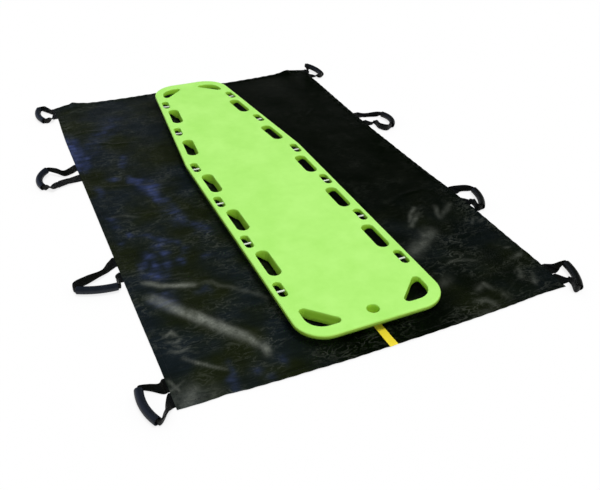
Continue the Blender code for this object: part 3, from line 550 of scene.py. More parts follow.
sheetGlints = [
    ([(152.2, 298), (170, 306.5), (187.4, 314.3), (210.4, 322.3), (227.6, 329.2), (244.8, 335.5),
      (259.4, 342.8)], 0.0165, 0.78),
    ([(257.4, 341.8), (264, 346), (266.6, 352)], 0.011, 0.65),
    ([(143.8, 282.7), (158.7, 285.6), (175.9, 285.6), (194.3, 284.4)], 0.010, 0.62),
    ([(194.3, 284.4), (210.4, 281.6), (221.8, 285.6), (233.3, 287.3), (250.5, 291.9), (267.8, 297.6)],
     0.008, 0.16),
    ([(250.5, 291.9), (260, 294.5), (268, 298)], 0.009, 0.18),
    ([(184, 357.3), (198.9, 363), (210.4, 366.5), (225.3, 368.8)], 0.0055, 0.4),
    ([(165.6, 336), (171.3, 332), (176, 335.5)], 0.0055, 0.38),
    ([(166.7, 341.8), (176, 341.8), (179.4, 338.4)], 0.006, 0.35),
    ([(169, 349.9), (176, 352.2), (181.7, 351), (188.5, 347.6)], 0.006, 0.38),
    ([(173.6, 345.3), (180.5, 347.6)], 0.006, 0.25),
    ([(177, 400.2), (205.5, 394)], 0.042, 0.3),
    ([(168, 380), (184, 394)], 0.005, 0.3),
    ([(168, 392), (184, 380)], 0.005, 0.3),
    ([(183, 386), (197, 402)], 0.005, 0.3),
    ([(183, 402), (197, 388)], 0.005, 0.3),
    ([(111.7, 217), (124, 216), (140, 217)], 0.006, 0.16),
    ([(409, 221.6), (411, 214), (413.7, 207.2)], 0.007, 0.3),
    ([(411.2, 227.3), (414, 219), (418, 212.7)], 0.009, 0.26),
    ([(434.8, 205.4), (437, 211), (440.3, 217.6)], 0.009, 0.2),
    ([(449.4, 203), (446, 209), (442, 216)], 0.010, 0.18),
    ([(413, 255), (419, 246), (426.4, 237), (430, 230)], 0.024, 0.28),
    ([(448.2, 261.2), (455, 259.3), (462.7, 258.8), (477.2, 260)], 0.007, 0.16),
    ([(472.4, 224), (473, 219)], 0.006, 0.2),
    ([(480, 222), (484, 217)], 0.007, 0.15),
    ([(505, 247), (511, 246)], 0.006, 0.22),
    ([(511.2, 257.6), (517, 255), (523.3, 252.7)], 0.008, 0.2),
    ([(518.4, 267.2), (522, 277)], 0.008, 0.2),
    ([(533, 272), (536.6, 283)], 0.007, 0.2),
    ([(474.8, 289), (482, 283), (490.6, 286.6)], 0.010, 0.24),
    ([(474.8, 300), (485.7, 297.5), (493, 302.4)], 0.010, 0.22),
    ([(478, 311), (488, 309)], 0.012, 0.18),
    ([(441, 284), (446, 275)], 0.018, 0.12),
    ([(500, 290), (508, 296)], 0.012, 0.1),
]
edgeX = sheet["width"] / 2
edgeY = sheet["length"] / 2


def edgeShift(points, places):
    xs, shifts = zip(*points)
    fine = np.linspace(xs[0], xs[-1], 241)
    values = np.interp(fine, xs, shifts)
    kernel = np.hanning(17)
    padded = np.pad(values, 8, mode="edge")
    return np.interp(places, fine, np.convolve(padded, kernel / kernel.sum(), mode="valid"))


def anchorShare(x, y):
    # 1 over the sewn tails of a handle, easing to 0 around them
    side = np.where(x < 0, -1, 1)
    share = np.zeros_like(x)
    for handle in handles.values():
        reach = tailOffset(handle) + webbing["width"] / 2
        across = 1 - easeStep(edgeX - webbing["tailLength"] - np.abs(x), 0.0, sheet["anchorRamp"])
        along = 1 - easeStep(np.abs(y - handle["along"]) - reach, 0.0, sheet["anchorRamp"])
        share = np.maximum(share, across * along * (side == handle["side"]))
    return share


def lineShape(x, y, points, halfWidth, fade):
    # 1 along a line of points, falling off to its sides and, by fade, towards its ends
    line = np.array(points)
    best = np.full(x.shape, farAway)
    where = np.zeros_like(x)
    count = len(line) - 1
    for index in range(count):
        start, step = line[index], line[index + 1] - line[index]
        share = np.clip(((x - start[0]) * step[0] + (y - start[1]) * step[1]) / (step @ step), 0, 1)
        distance = np.hypot(x - start[0] - share * step[0], y - start[1] - share * step[1])
        closer = distance < best
        where = np.where(closer, (index + share) / count, where)
        best = np.minimum(best, distance)
    ends = np.sin(np.pi * np.clip(where * 0.9 + 0.05, 0, 1)) ** fade
    return ends * np.exp(-(best / halfWidth) ** 2 * 1.2)


def foldRise(x, y):
    # the long folds of the photograph, each a rounded ridge along its line
    rise = np.zeros_like(x)
    for points, height, halfWidth in sheetFolds:
        rise = np.maximum(rise, height * lineShape(x, y, points, halfWidth, 0.7))
    return rise


def onCloth(pixels):
    # where the camera's rays through points of the photograph meet the cloth, in plan
    right, up, back = (np.array(axis) for axis in cameraAxes())
    focus = camera["lens"] / camera["sensor"] * photo["width"]
    across, down = (np.array(pixels) - (photo["width"] / 2, photo["height"] / 2)).T[:, :, None] / focus
    rays = across * right - down * up - back
    place = np.array(camera["place"])
    reach = (photo["clothHeight"] - place[2]) / rays[:, 2:]
    return (place + rays * reach)[:, :2]


def markShare(x, y, marks, widening, wander):
    # soft painted sheen and highlight marks on the coating: each line wanders and is broken up along its way
    bentX = x + wander * valueNoise(x / 0.035 + 5.0, y / 0.035, 8)
    bentY = y + wander * valueNoise(x / 0.035, y / 0.035 + 5.0, 9)
    share = np.zeros_like(x)
    for pixels, halfWidth, strength in marks:
        line = onCloth(pixels)
        share = np.maximum(share, strength * lineShape(bentX, bentY, line, halfWidth * widening, 0.4))
    broken = 0.80 + 0.40 * valueNoise(x / 0.016, y / 0.022, 10)
    return np.clip(share * broken, 0, 1)


def flatShare(x, y):
    # 0 under the board's runners, where the sheet is pressed flat, and 1 away from them
    nearest = np.full(x.shape, farAway)
    for side in (-1, 1):
        middle = runnerZone["centre"][0] + side * runnerZone["offset"]
        across = np.abs(x - middle) - runnerZone["halfWidth"]
        along = np.abs(y - runnerZone["centre"][1]) - runnerZone["halfLength"]
        nearest = np.minimum(nearest, np.maximum(across, along))
    return easeStep(nearest, 0.004, 0.05)


# How the cloth lies on the floor: the heights of its waves from slow to quick, of the puckers along its
# edges, of the curl at its foot end's corners and of the bump near its right head corner
sheetWaves = {
    "swell": 0.0012, "wave": 0.0005, "ripple": 0.00018, "pucker": 0.0007, "puckerPitch": 0.041,
    "puckerReach": 0.022, "curl": 0.010, "cornerBump": 0.006,
}


def sheetBottom(x, y):
    # the height of the sheet's underside above the floor, in nominal plan coordinates
    anchored = anchorShare(x, y)
    free = flatShare(x, y) * (1 - anchored)
    swell = sheetWaves["swell"] * (1 + valueNoise(x / 0.17 + 3.1, y / 0.21 + 7.7, 0))
    swell += sheetWaves["wave"] * (1 + valueNoise(x / 0.060 + 1.3, y / 0.075 + 2.1, 1))
    ripple = sheetWaves["ripple"] * (1 + valueNoise(x / 0.024, y / 0.030, 2))
    inside = np.minimum(edgeX - np.abs(x), edgeY - np.abs(y))
    along = np.where(edgeX - np.abs(x) < edgeY - np.abs(y), y, x)
    phase = 2 * np.pi * along / sheetWaves["puckerPitch"] + 2.5 * valueNoise(x / 0.09, y / 0.09, 3)
    pucker = sheetWaves["pucker"] * (1 + np.sin(phase))
    pucker *= np.exp(-(inside / sheetWaves["puckerReach"]) ** 2) * (1 - anchored)
    curl = sheetWaves["curl"] * np.exp(-((np.abs(x) - 0.535) / 0.045) ** 2 - ((y - edgeY) / 0.03) ** 2)
    cornerBump = sheetWaves["cornerBump"] * np.exp(-((x - 0.50) / 0.04) ** 2 - ((y + 0.90) / 0.03) ** 2)
    return (sheet["anchorLift"] * anchored + free * (swell + ripple + foldRise(x, y) + cornerBump)
            + pucker + curl * (1 - anchored))


def sheetThickness(x, y):
    inside = np.minimum(edgeX - np.abs(x), edgeY - np.abs(y))
    hem = 1 - easeStep(inside, sheet["hemWidth"] - 0.0010, sheet["hemWidth"] + 0.0010)
    return sheet["thickness"] + sheet["hemRise"] * hem


def sheetPlan(x, y):
    # nominal plan coordinates moved to where the wandering edges pull them
    reachX = easeStep(np.abs(x), 0.36, edgeX)
    reachY = easeStep(np.abs(y), 0.55, edgeY)
    outX = np.where(x < 0, -edgeShift(sheet["leftEdge"], y), edgeShift(sheet["rightEdge"], y))
    outY = np.where(y < 0, -edgeShift(sheet["nearEdge"], x), edgeShift(sheet["farEdge"], x))
    return x + outX * reachX, y + outY * reachY


def sheetTopPoint(x, y, proud=0.0):
    x, y = np.asarray(x, float), np.asarray(y, float)
    planX, planY = sheetPlan(x, y)
    return np.stack([planX, planY, sheetBottom(x, y) + sheetThickness(x, y) + proud], -1)


def gridLines(low, high, lowIsEdge, highIsEdge):
    # evenly spaced lines, with close ones at a hemmed edge and its step
    hem = sheet["hemWidth"]
    close = [0.0, 0.0005, 0.002, 0.007, 0.012, hem - 0.0012, hem, hem + 0.0012, hem + 0.004]
    lines = []
    start, end = low, high
    if lowIsEdge:
        lines += [low + step for step in close]
        start = low + close[-1]
    if highIsEdge:
        lines += [high - step for step in close]
        end = high - close[-1]
    count = round((end - start) / sheet["cell"])
    lines += list(np.linspace(start, end, count + 1))
    return np.array(sorted({round(float(line), 6) for line in lines}))


def layerFaces(rows, columns, offset, flip):
    faces = []
    for row in range(rows - 1):
        for column in range(columns - 1):
            first = offset + row * columns + column
            face = (first, first + 1, first + columns + 1, first + columns)
            faces.append(face[::-1] if flip else face)
    return faces


def borderLoop(rows, columns):
    loop = list(range(columns))
    loop += [row * columns + columns - 1 for row in range(1, rows)]
    loop += [(rows - 1) * columns + column for column in range(columns - 2, -1, -1)]
    loop += [row * columns for row in range(rows - 2, 0, -1)]
    return loop


def creasing(x, y):
    # how strongly the coating is crinkled at a place: most on the left half and at the head end
    patches = 0.5 + 0.5 * valueNoise(x / 0.08 + 9.0, y / 0.11 + 4.0, 4)
    left = 0.30 + 0.55 * patches
    right = 0.10 + 0.22 * patches + 0.75 * patches * (1 - easeStep(y, -0.50, -0.36))
    return right + (left - right) * easeStep(-x, -0.05, 0.05)


def reflectedHazing(x, y):
    # how much painted haze of reflected light the coating has: all of the left half, and some of the right
    # half's head end
    left = easeStep(-x, 0.10, 0.30)
    patches = 0.5 + 0.5 * valueNoise(x / 0.07 + 2.0, y / 0.06 + 6.0, 7)
    right = (0.14 + 0.16 * patches) * (1 - easeStep(y, -0.75, -0.10))
    right = right + 0.34 * patches * (1 - easeStep(y, -0.55, -0.25))
    return left + (1 - left) * (0.02 + right * easeStep(x, 0.18, 0.30))


def makeSheetHalf(name, side):
    low, high = (-edgeX, 0.0) if side < 0 else (0.0, edgeX)
    xs = gridLines(low, high, side < 0, side > 0)
    ys = gridLines(-edgeY, edgeY, True, True)
    x, y = np.meshgrid(xs, ys)
    planX, planY = sheetPlan(x, y)
    bottom = sheetBottom(x, y)
    top = bottom + sheetThickness(x, y)
    rows, columns = x.shape
    upper = np.stack([planX, planY, top], -1).reshape(-1, 3)
    lower = np.stack([planX, planY, bottom], -1).reshape(-1, 3)
    loop = borderLoop(rows, columns)
    middle = (upper[loop] + lower[loop]) / 2
    flatX, flatY = x.reshape(-1)[loop], y.reshape(-1)[loop]
    middle[:, 0] += np.where(np.abs(flatX) > edgeX - 1e-6, side * sheet["edgeRound"], 0.0)
    middle[:, 1] += np.where(np.abs(flatY) > edgeY - 1e-6, np.sign(flatY) * sheet["edgeRound"], 0.0)
    count = rows * columns
    faces = layerFaces(rows, columns, 0, False) + layerFaces(rows, columns, count, True)
    for index, point in enumerate(loop):
        following = (index + 1) % len(loop)
        ring, nextRing = 2 * count + index, 2 * count + following
        faces.append((point, ring, nextRing, loop[following]))
        faces.append((ring, count + point, count + loop[following], nextRing))
    vertices = np.concatenate([upper, lower, middle])
    item = makeObject(name, vertices, faces, sheetCoating)
    allX = np.concatenate([x.reshape(-1), x.reshape(-1), flatX])
    allY = np.concatenate([y.reshape(-1), y.reshape(-1), flatY])
    # the haze, sheen and glint shares carry painted reflections and highlights
    paint = {"creasing": creasing(allX, allY), "haze": reflectedHazing(allX, allY),
             "sheen": markShare(allX, allY, sheetSheens, 1.45, 0.012),
             "glint": markShare(allX, allY, sheetGlints, 1.05, 0.003)}
    for key, values in paint.items():
        attribute = item.data.attributes.new(key, "FLOAT", "POINT")
        attribute.data.foreach_set("value", values.astype(np.float32))
    addUv(item, "plan", np.stack([allX, allY], -1))
    return item


# Stitches, by one Geometry Nodes tree that lays them along any line of edges
stitch = {
    "hemPitch": 0.0045, "length": 0.0030, "width": 0.0009,
    "height": 0.0007, "boxInset": 0.006, "edgeGap": 0.0155, "seed": 11,
}


def stitchTree():
    tree = bpy.data.node_groups.new("lockstitches", "GeometryNodeTree")
    face = tree.interface
    face.new_socket("Geometry", in_out="INPUT", socket_type="NodeSocketGeometry")
    for label in ("Pitch", "Stitch Length", "Stitch Width", "Stitch Height"):
        face.new_socket(label, in_out="INPUT", socket_type="NodeSocketFloat")
    face.new_socket("Thread", in_out="INPUT", socket_type="NodeSocketMaterial")
    face.new_socket("Seed", in_out="INPUT", socket_type="NodeSocketInt")
    face.new_socket("Geometry", in_out="OUTPUT", socket_type="NodeSocketGeometry")
    given = addNode(tree, "NodeGroupInput").outputs
    line = addNode(tree, "GeometryNodeMeshToCurve", inputs={"Mesh": given["Geometry"]})
    spaced = addNode(tree, "GeometryNodeResampleCurve", {"mode": "LENGTH"},
                     {"Curve": line.outputs[0], "Length": given["Pitch"]})
    bead = addNode(tree, "GeometryNodeMeshIcoSphere", inputs={"Radius": 0.5, "Subdivisions": 1})
    size = addNode(tree, "ShaderNodeCombineXYZ", inputs={
        "X": given["Stitch Length"], "Y": given["Stitch Width"], "Z": given["Stitch Height"]})
    shaped = addNode(tree, "GeometryNodeTransform", inputs={
        "Geometry": bead.outputs["Mesh"], "Scale": size.outputs[0]})
    tangent = addNode(tree, "GeometryNodeInputTangent")
    turned = addNode(tree, "FunctionNodeAlignRotationToVector", {"axis": "X"},
                     {"Vector": tangent.outputs[0]})
    varied = addNode(tree, "FunctionNodeRandomValue", {"data_type": "FLOAT"},
                     {2: 0.88, 3: 1.08, "Seed": given["Seed"]})
    placed = addNode(tree, "GeometryNodeInstanceOnPoints", inputs={
        "Points": spaced.outputs[0], "Instance": shaped.outputs[0], "Rotation": turned.outputs[0],
        "Scale": varied.outputs[1]})
    real = addNode(tree, "GeometryNodeRealizeInstances", inputs={"Geometry": placed.outputs[0]})
    black = addNode(tree, "GeometryNodeSetMaterial", inputs={
        "Geometry": real.outputs[0], "Material": given["Thread"]})
    addNode(tree, "NodeGroupOutput", inputs={"Geometry": black.outputs[0]})
    return tree


lockstitches = stitchTree()


def sewAlong(name, chains, pitch):
    # chains are lists of points; each becomes one row of stitches
    vertices, edges = [], []
    for chain in chains:
        start = len(vertices)
        vertices += [tuple(point) for point in chain]
        edges += [(start + index, start + index + 1) for index in range(len(chain) - 1)]
    mesh = bpy.data.meshes.new(name + "Line")
    mesh.from_pydata(vertices, edges, [])
    guide = bpy.data.objects.new(name + "Line", mesh)
    scene.collection.objects.link(guide)
    modifier = guide.modifiers.new("stitches", "NODES")
    modifier.node_group = lockstitches
    settings = {"Pitch": pitch, "Stitch Length": stitch["length"], "Stitch Width": stitch["width"],
                "Stitch Height": stitch["height"], "Thread": sewingThread, "Seed": stitch["seed"]}
    for socket in lockstitches.interface.items_tree:
        if socket.name in settings:
            modifier[socket.identifier] = settings[socket.name]
    made = guide.evaluated_get(bpy.context.evaluated_depsgraph_get())
    result = bpy.data.meshes.new_from_object(made)
    result.name = name
    bpy.data.objects.remove(guide)
    item = bpy.data.objects.new(name, result)
    item.data.shade_smooth()
    scene.collection.objects.link(item)
    return item


def sheetLine(points, step=0.006):
    # a line through plan points, laid on the sheet's top
    places = []
    for (x0, y0), (x1, y1) in zip(points, points[1:]):
        count = max(1, math.ceil(math.hypot(x1 - x0, y1 - y0) / step))
        for index in range(count):
            share = index / count
            places.append((x0 + (x1 - x0) * share, y0 + (y1 - y0) * share))
    places.append(points[-1])
    x, y = np.array(places).T
    return sheetTopPoint(x, y, stitch["height"] * 0.1)


def boxLines(handle):
    # the sewn box with its cross, over both tails of a handle
    chains = []
    side = handle["side"]
    outer = edgeX - stitch["boxInset"]
    inner = edgeX - webbing["tailLength"] + stitch["boxInset"]
    for way in (-1, 1):
        middle = handle["along"] + way * tailOffset(handle)
        half = webbing["width"] / 2 - stitch["boxInset"]
        corners = [(side * outer, middle - half), (side * outer, middle + half),
                   (side * inner, middle + half), (side * inner, middle - half)]
        chains.append(sheetLine(corners + corners[:1]))
        chains.append(sheetLine([corners[0], corners[2]]))
        chains.append(sheetLine([corners[1], corners[3]]))
    return chains


def makeSheetStitches(name, side):
    gap = stitch["edgeGap"]
    x, y = side * (edgeX - gap), edgeY - gap
    chains = [sheetLine([(side * 0.014, -y), (x, -y), (x, y), (side * 0.014, y)])]
    for handle in handles.values():
        if handle["side"] == side:
            chains += boxLines(handle)
    return sewAlong(name, chains, stitch["hemPitch"])


# Stripe: tape along the middle, turned down over both ends
stripe = {"width": 0.025, "offset": -0.010, "thickness": 0.0003, "lift": 0.00012,
          "turn": (0.0010, 0.0006), "turnFoot": (0.0011, 0.0016)}


def makeStripe():
    half = stripe["width"] / 2
    xs = np.linspace(stripe["offset"] - half, stripe["offset"] + half, 9)
    ys = np.arange(-edgeY, edgeY + 0.003, 0.006)
    ys[-1] = edgeY
    x, y = np.meshgrid(xs, ys)
    low = sheetTopPoint(x, y, stripe["lift"])
    # each turned end is two more rows, (outward, down) from the sheet's edge
    turned = [[sheetTopPoint(xs, np.full_like(xs, way * edgeY)) + (0.0, way * out, -down)
               for out, down in (stripe["turnFoot"], stripe["turn"])] for way in (-1, 1)]
    low = np.concatenate([turned[0], low, turned[1][::-1]])
    normal = np.zeros_like(low)
    normal[..., 2] = 1.0
    normal[0], normal[-1] = (0, -1, 0), (0, 1, 0)
    normal[1], normal[-2] = (0, -0.7, 0.7), (0, 0.7, 0.7)
    high = low + normal * stripe["thickness"]
    rows, columns = low.shape[:2]
    count = rows * columns
    faces = layerFaces(rows, columns, 0, False) + layerFaces(rows, columns, count, True)
    loop = borderLoop(rows, columns)
    for index, point in enumerate(loop):
        following = loop[(index + 1) % len(loop)]
        faces.append((point, count + point, count + following, following))
    return makeObject("centreTape", np.concatenate([high.reshape(-1, 3), low.reshape(-1, 3)]),
                      faces, yellowTape)


for half, side in (("left", -1), ("right", 1)):
    cloth = makeSheetHalf("sheetHalf" + half.capitalize(), side)
    seams = makeSheetStitches("sheetStitches" + half.capitalize(), side)
    start = (side * sheet["foldLine"], 0.0, 0.0)
    for piece in (cloth, seams):
        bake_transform(piece)
    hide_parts("sheet_wing_" + half)
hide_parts("sheet_centre")
tape = makeStripe()
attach(tape, "centre")
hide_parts("centre_stripe")
print("sheet, stitches and stripe made")

# Hose grips
grip = {"length": 0.120, "radius": 0.012, "wall": 0.0025, "mouthLead": 0.006, "sides": 36, "rings": 29,
        "mouthRound": 0.0012}


def gripStations(handle, count):
    outward, along, heading, bend, firstLift, lastLift = handle["grip"]
    heading, bend = math.radians(heading), math.radians(bend)
    stations = []
    for step in range(count):
        share = step / (count - 1) - 0.5
        chord = 2 * grip["length"] / bend * math.sin(bend * share / 2)
        direction = heading + bend * share / 2
        stations.append((outward + chord * math.cos(direction), along + chord * math.sin(direction),
                         firstLift + (lastLift - firstLift) * (share + 0.5), heading + bend * share))
    return stations


def worldPoint(handle, outward, along, height):
    return np.array((handle["side"] * (edgeX + outward), handle["along"] + along, height))


def makeGrip(name, handle):
    stations = gripStations(handle, grip["rings"])
    radius, bore, mouth = grip["radius"], grip["radius"] - grip["wall"], grip["mouthRound"]
    centres = [worldPoint(handle, s[0], s[1], radius + s[2]) for s in stations]
    levels = [np.array((-handle["side"] * math.sin(s[3]), math.cos(s[3]), 0.0)) for s in stations]
    last = grip["rings"] - 1
    # the wall's profile with its rounded mouths: (station, distance beyond it, radius)
    outside = [(index, 0.0, radius) for index in range(1, last)]
    rounding = [(math.cos(a), math.sin(a)) for a in np.linspace(0, math.pi, 7)]
    middle = (radius + bore) / 2
    halfWall = (radius - bore) / 2
    farMouth = [(last, mouth * (s - 1), middle + halfWall * c) for c, s in rounding]
    nearMouth = [(0, mouth * (1 - s), middle - halfWall * c) for c, s in rounding]
    inside = [(index, 0.0, bore) for index in range(last - 1, 0, -2)]
    angles = 2 * np.pi * np.arange(grip["sides"]) / grip["sides"]
    rings, values = [], []
    for index, beyond, ringRadius in outside + farMouth + inside + nearMouth:
        heading = stations[index][3]
        tangent = np.array((handle["side"] * math.cos(heading), math.sin(heading), 0.0))
        centre = centres[index] + tangent * beyond
        ring = (centre + np.outer(np.cos(angles), levels[index]) * ringRadius
                + np.outer(np.sin(angles), (0, 0, 1)) * ringRadius)
        rings.append(ring)
        values += [(angle * radius, index * grip["length"] / last) for angle in angles]
    faces = tubeFaces(len(rings), grip["sides"], closed=True)
    # the left hoses take the painted window light
    item = makeObject(name, np.concatenate(rings), faces, windowLightPaintedHose if handle["side"] < 0 else blackHose)
    addUv(item, "weave", values)
    return item


# Webbing straps: one strip of webbing from its tail under the sheet, through the hose, back to the
# other tail; where it narrows it is folded lengthwise, so its section is a J

def strapKeys(handle):
    offset = tailOffset(handle)
    flat = webbing["thickness"] / 2
    full = (webbing["width"], webbing["thickness"])
    stations = gripStations(handle, 9)
    keys = [(webbing["hingeGap"], offset, flat, *full, 0.0), (webbing["exitLead"], offset, flat, *full, 0.0)]
    keys += [strapKey(point, False) for point in handle["first"]]
    keys.append(mouthKey(stations[0], -1))
    keys += [(s[0], s[1], grip["radius"] + s[2], webbing["rolledWidth"], webbing["rolledThickness"], 90.0)
             for s in stations]
    keys.append(mouthKey(stations[-1], 1))
    keys += [strapKey(point, True) for point in handle["last"]]
    keys += [(webbing["exitLead"], -offset, flat, *full, 180.0),
             (webbing["hingeGap"], -offset, flat, *full, 180.0)]
    return keys


def strapKey(point, returning):
    outward, along, lift, flat, tilt = point
    width = webbing["width"] * flat
    thickness = webbing["thickness"] * (1 + 2 * (1 - flat))
    angle = math.radians(tilt)
    height = (width * math.sin(angle) + thickness * math.cos(angle)) / 2 + lift
    return outward, along, height, width, thickness, 180.0 - tilt if returning else tilt


def mouthKey(station, way):
    outward, along, lift, heading = station
    return (outward + way * grip["mouthLead"] * math.cos(heading),
            along + way * grip["mouthLead"] * math.sin(heading),
            grip["radius"] + lift, webbing["rolledWidth"], webbing["rolledThickness"], 90.0)


def smoothKeys(keys, steps):
    # a Catmull-Rom curve through the keys, by all of their values, spaced by chord length
    keys = np.array(keys)
    chords = np.sqrt(np.maximum(np.linalg.norm(np.diff(keys[:, :3], axis=0), axis=1), 1e-6))
    padded = np.concatenate([[2 * keys[0] - keys[1]], keys, [2 * keys[-1] - keys[-2]]])
    lengths = np.concatenate([chords[:1], chords, chords[-1:]])
    result = []
    for index in range(len(keys) - 1):
        p0, p1, p2, p3 = padded[index:index + 4]
        first, middle, last = lengths[index:index + 3]
        leave = middle * ((p1 - p0) / first - (p2 - p0) / (first + middle) + (p2 - p1) / middle)
        arrive = middle * ((p2 - p1) / middle - (p3 - p1) / (middle + last) + (p3 - p2) / last)
        for step in range(steps):
            share = step / steps
            result.append((((2 * p1 - 2 * p2 + leave + arrive) * share
                            + 3 * p2 - 3 * p1 - 2 * leave - arrive) * share + leave) * share + p1)
    result.append(keys[-1])
    return result


def foldedSection(width, opened):
    # the webbing's section in its own plane: (across, above, place across the full webbing).
    # The base layer is as wide as width; the rest turns back over it as a flap, standing a little open
    full, thickness = webbing["width"], webbing["thickness"]
    flap = float(np.clip(full - width, 0.0, width - webbing["turnLength"]))
    turn = (thickness + webbing["layerGap"]) / 2
    opening = math.radians(webbing["flapOpening"]) * opened
    opening *= min(1.0, flap / webbing["flapEase"])
    line = []
    for step in range(9):
        share = step / 8
        cup = webbing["cupping"] * opened * (1 - (2 * share - 1) ** 2)
        line.append((width * (share - 0.5), -cup, share * width))
    bend = min(1.0, flap / webbing["turnLength"])
    for step in range(1, 6):
        angle = (math.pi * bend - opening) * step / 5
        line.append((width / 2 + turn * bend * math.sin(angle), turn * bend * (1 - math.cos(angle)),
                     width + webbing["turnLength"] * bend * step / 5))
    heading = math.pi * bend - opening if flap > webbing["leastFlap"] else 0.0
    start = line[-1]
    for step in range(1, 8):
        share = step / 7
        line.append((start[0] + flap * share * math.cos(heading), start[1] + flap * share * math.sin(heading),
                     start[2] + flap * share))
    line = np.array(line)
    tangent = np.gradient(line[:, :2], axis=0)
    tangent /= np.maximum(np.linalg.norm(tangent, axis=1, keepdims=True), 1e-9)
    normal = np.stack([-tangent[:, 1], tangent[:, 0]], -1)
    half = thickness / 2
    upper = np.concatenate([line[:, :2] + normal * half, line[:, 2:]], 1)
    lower = np.concatenate([line[:, :2] - normal * half, line[:, 2:]], 1)
    caps = []
    for end, way in ((-1, 1), (0, -1)):
        cap = [(*(line[end, :2] + tangent[end] * way * half * math.cos(a)
                  + normal[end] * way * half * math.sin(a)), line[end, 2])
               for a in (math.radians(45), 0.0, math.radians(-45))]
        caps.append(np.array(cap))
    return np.concatenate([upper, caps[0], lower[::-1], caps[1]])


def makeStrap(name, handle):
    side = handle["side"]
    stations = smoothKeys(strapKeys(handle), webbing["stepsPerKey"])
    offset = tailOffset(handle)
    flat = webbing["thickness"] / 2
    inward = np.linspace(-webbing["tailLength"], 0.0, 8)[:-1]
    tail = [(x, offset, flat, webbing["width"], webbing["thickness"], 0.0) for x in inward]
    tailBack = [(x, -offset, flat, webbing["width"], webbing["thickness"], 180.0) for x in inward[::-1]]
    stations = np.array(tail + list(stations) + tailBack)
    lowest = (stations[:, 3] * np.abs(np.sin(np.radians(stations[:, 5]))) + stations[:, 4]) / 2
    heights = np.maximum(stations[:, 2], lowest)
    heights[np.abs(stations[:, 3] - webbing["width"]) < 1e-6] = flat
    centres = np.array([worldPoint(handle, s[0], s[1], h) for s, h in zip(stations, heights)])
    travel = np.concatenate([[0.0], np.cumsum(np.linalg.norm(np.diff(centres, axis=0), axis=1))])
    tangents = np.gradient(centres, axis=0)
    tangents[0], tangents[-1] = (side, 0, 0), (-side, 0, 0)
    rings, values = [], []
    for index, station in enumerate(stations):
        tangent = tangents[index] / np.linalg.norm(tangents[index])
        turn = math.radians(station[5])
        across = np.array((0.0, math.cos(turn), math.sin(turn)))
        above = np.cross(tangent, across)
        above = above / np.linalg.norm(above) * side
        inHose = abs(station[3] - webbing["rolledWidth"]) < 1e-4
        section = foldedSection(max(station[3], webbing["rolledWidth"]), 0.0 if inHose else 1.0)
        shape = section[:, :1] * across + section[:, 1:2] * above
        middle = (shape.min(0) + shape.max(0)) / 2
        ring = centres[index] + shape - (middle if inHose else middle * 0.5)
        ring[:, 2] += max(0.0, webbing["floorGap"] - ring[:, 2].min())
        rings.append(ring)
        values += [(place, travel[index]) for place in section[:, 2]]
    count, sides = len(rings), len(rings[0])
    faces = tubeFaces(count, sides)
    lines = (sides - 6) // 2
    for row, flip in ((0, True), (count - 1, False)):
        # each end is closed by a strip between the webbing's two faces
        base = row * sides
        for column in range(lines - 1):
            far = 2 * lines + 3 - 1 - column
            face = (base + column, base + column + 1, base + far - 1, base + far)
            faces.append(face[::-1] if flip else face)
        faces.append(tuple(base + i for i in (lines - 1, lines, lines + 1, lines + 2, lines + 3)))
        faces.append(tuple(base + i for i in (2 * lines + 2, 2 * lines + 3, 2 * lines + 4, 2 * lines + 5, 0)))
    item = makeObject(name, np.concatenate(rings), faces, nylonWebbing)
    addUv(item, "weave", values)
    return item


for name, handle in handles.items():
    label = name.title().replace("_", "")
    body = "handle_" + name
    strap = makeStrap("strap" + label, handle)
    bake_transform(strap)
    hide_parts("strap_" + name, "tail_" + name + "_head", "tail_" + name + "_foot")
    hose = makeGrip("grip" + label, handle)
    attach(hose, body)
    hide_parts("grip_" + name)
print("handles made")

# Spine board, lying on the sheet on its two runners: a thin rim, and a thick hull with sloping sides
board = {
    "centre": (-0.014, -0.007), "length": 1.809, "width": 0.461, "footWidth": 0.312,
    "taperStart": 0.083 * 1.809, "bottom": 0.008, "rimBottom": 0.032, "top": 0.048,
    "hullInsets": (0.030, 0.060), "headRadius": 0.090, "footRadius": 0.108, "shoulderRadius": 0.300,
    "rimRound": (0.0065, 0.0050), "bottomRound": 0.004, "holeRound": 0.0028, "holeTopPart": 0.008,
    "ridge": 0.0003, "outlineStep": 0.016, "underStep": 0.013, "sink": 0.0004,
    "handholds": (-0.2961, -0.1519, -0.0071, 0.1557, 0.3191), "handholdSize": (0.137, 0.042, 0.046),
    "pinSlots": (-0.3692, -0.2239, -0.0798, 0.0661, 0.2388, 0.3885), "pinSlotSize": (0.073, 0.027, 0.028),
    "holdSideWall": 0.035, "holdTipRadius": 0.013,
    "headHold": (0.040, 0.112, 0.112, 0.052), "footHold": (0.046, 0.102, 0.104, 0.062),
    "hangingHole": (0.0185, 0.036), "plugRadius": 0.0103, "plugFromHead": 0.200, "plugDepth": 0.006,
    "rimLead": 0.0012, "holeLead": 0.0010, "partingDrop": 0.003, "runnerFoot": (0.009, 0.0065, 0.35),
    "runnerBottom": 0.0015, "runnerWidth": 0.050, "runnerOffset": 0.090, "runnerEndGap": 0.170,
}
taperAngle = math.atan2((board["width"] - board["footWidth"]) / 2, board["length"] / 2 - board["taperStart"])


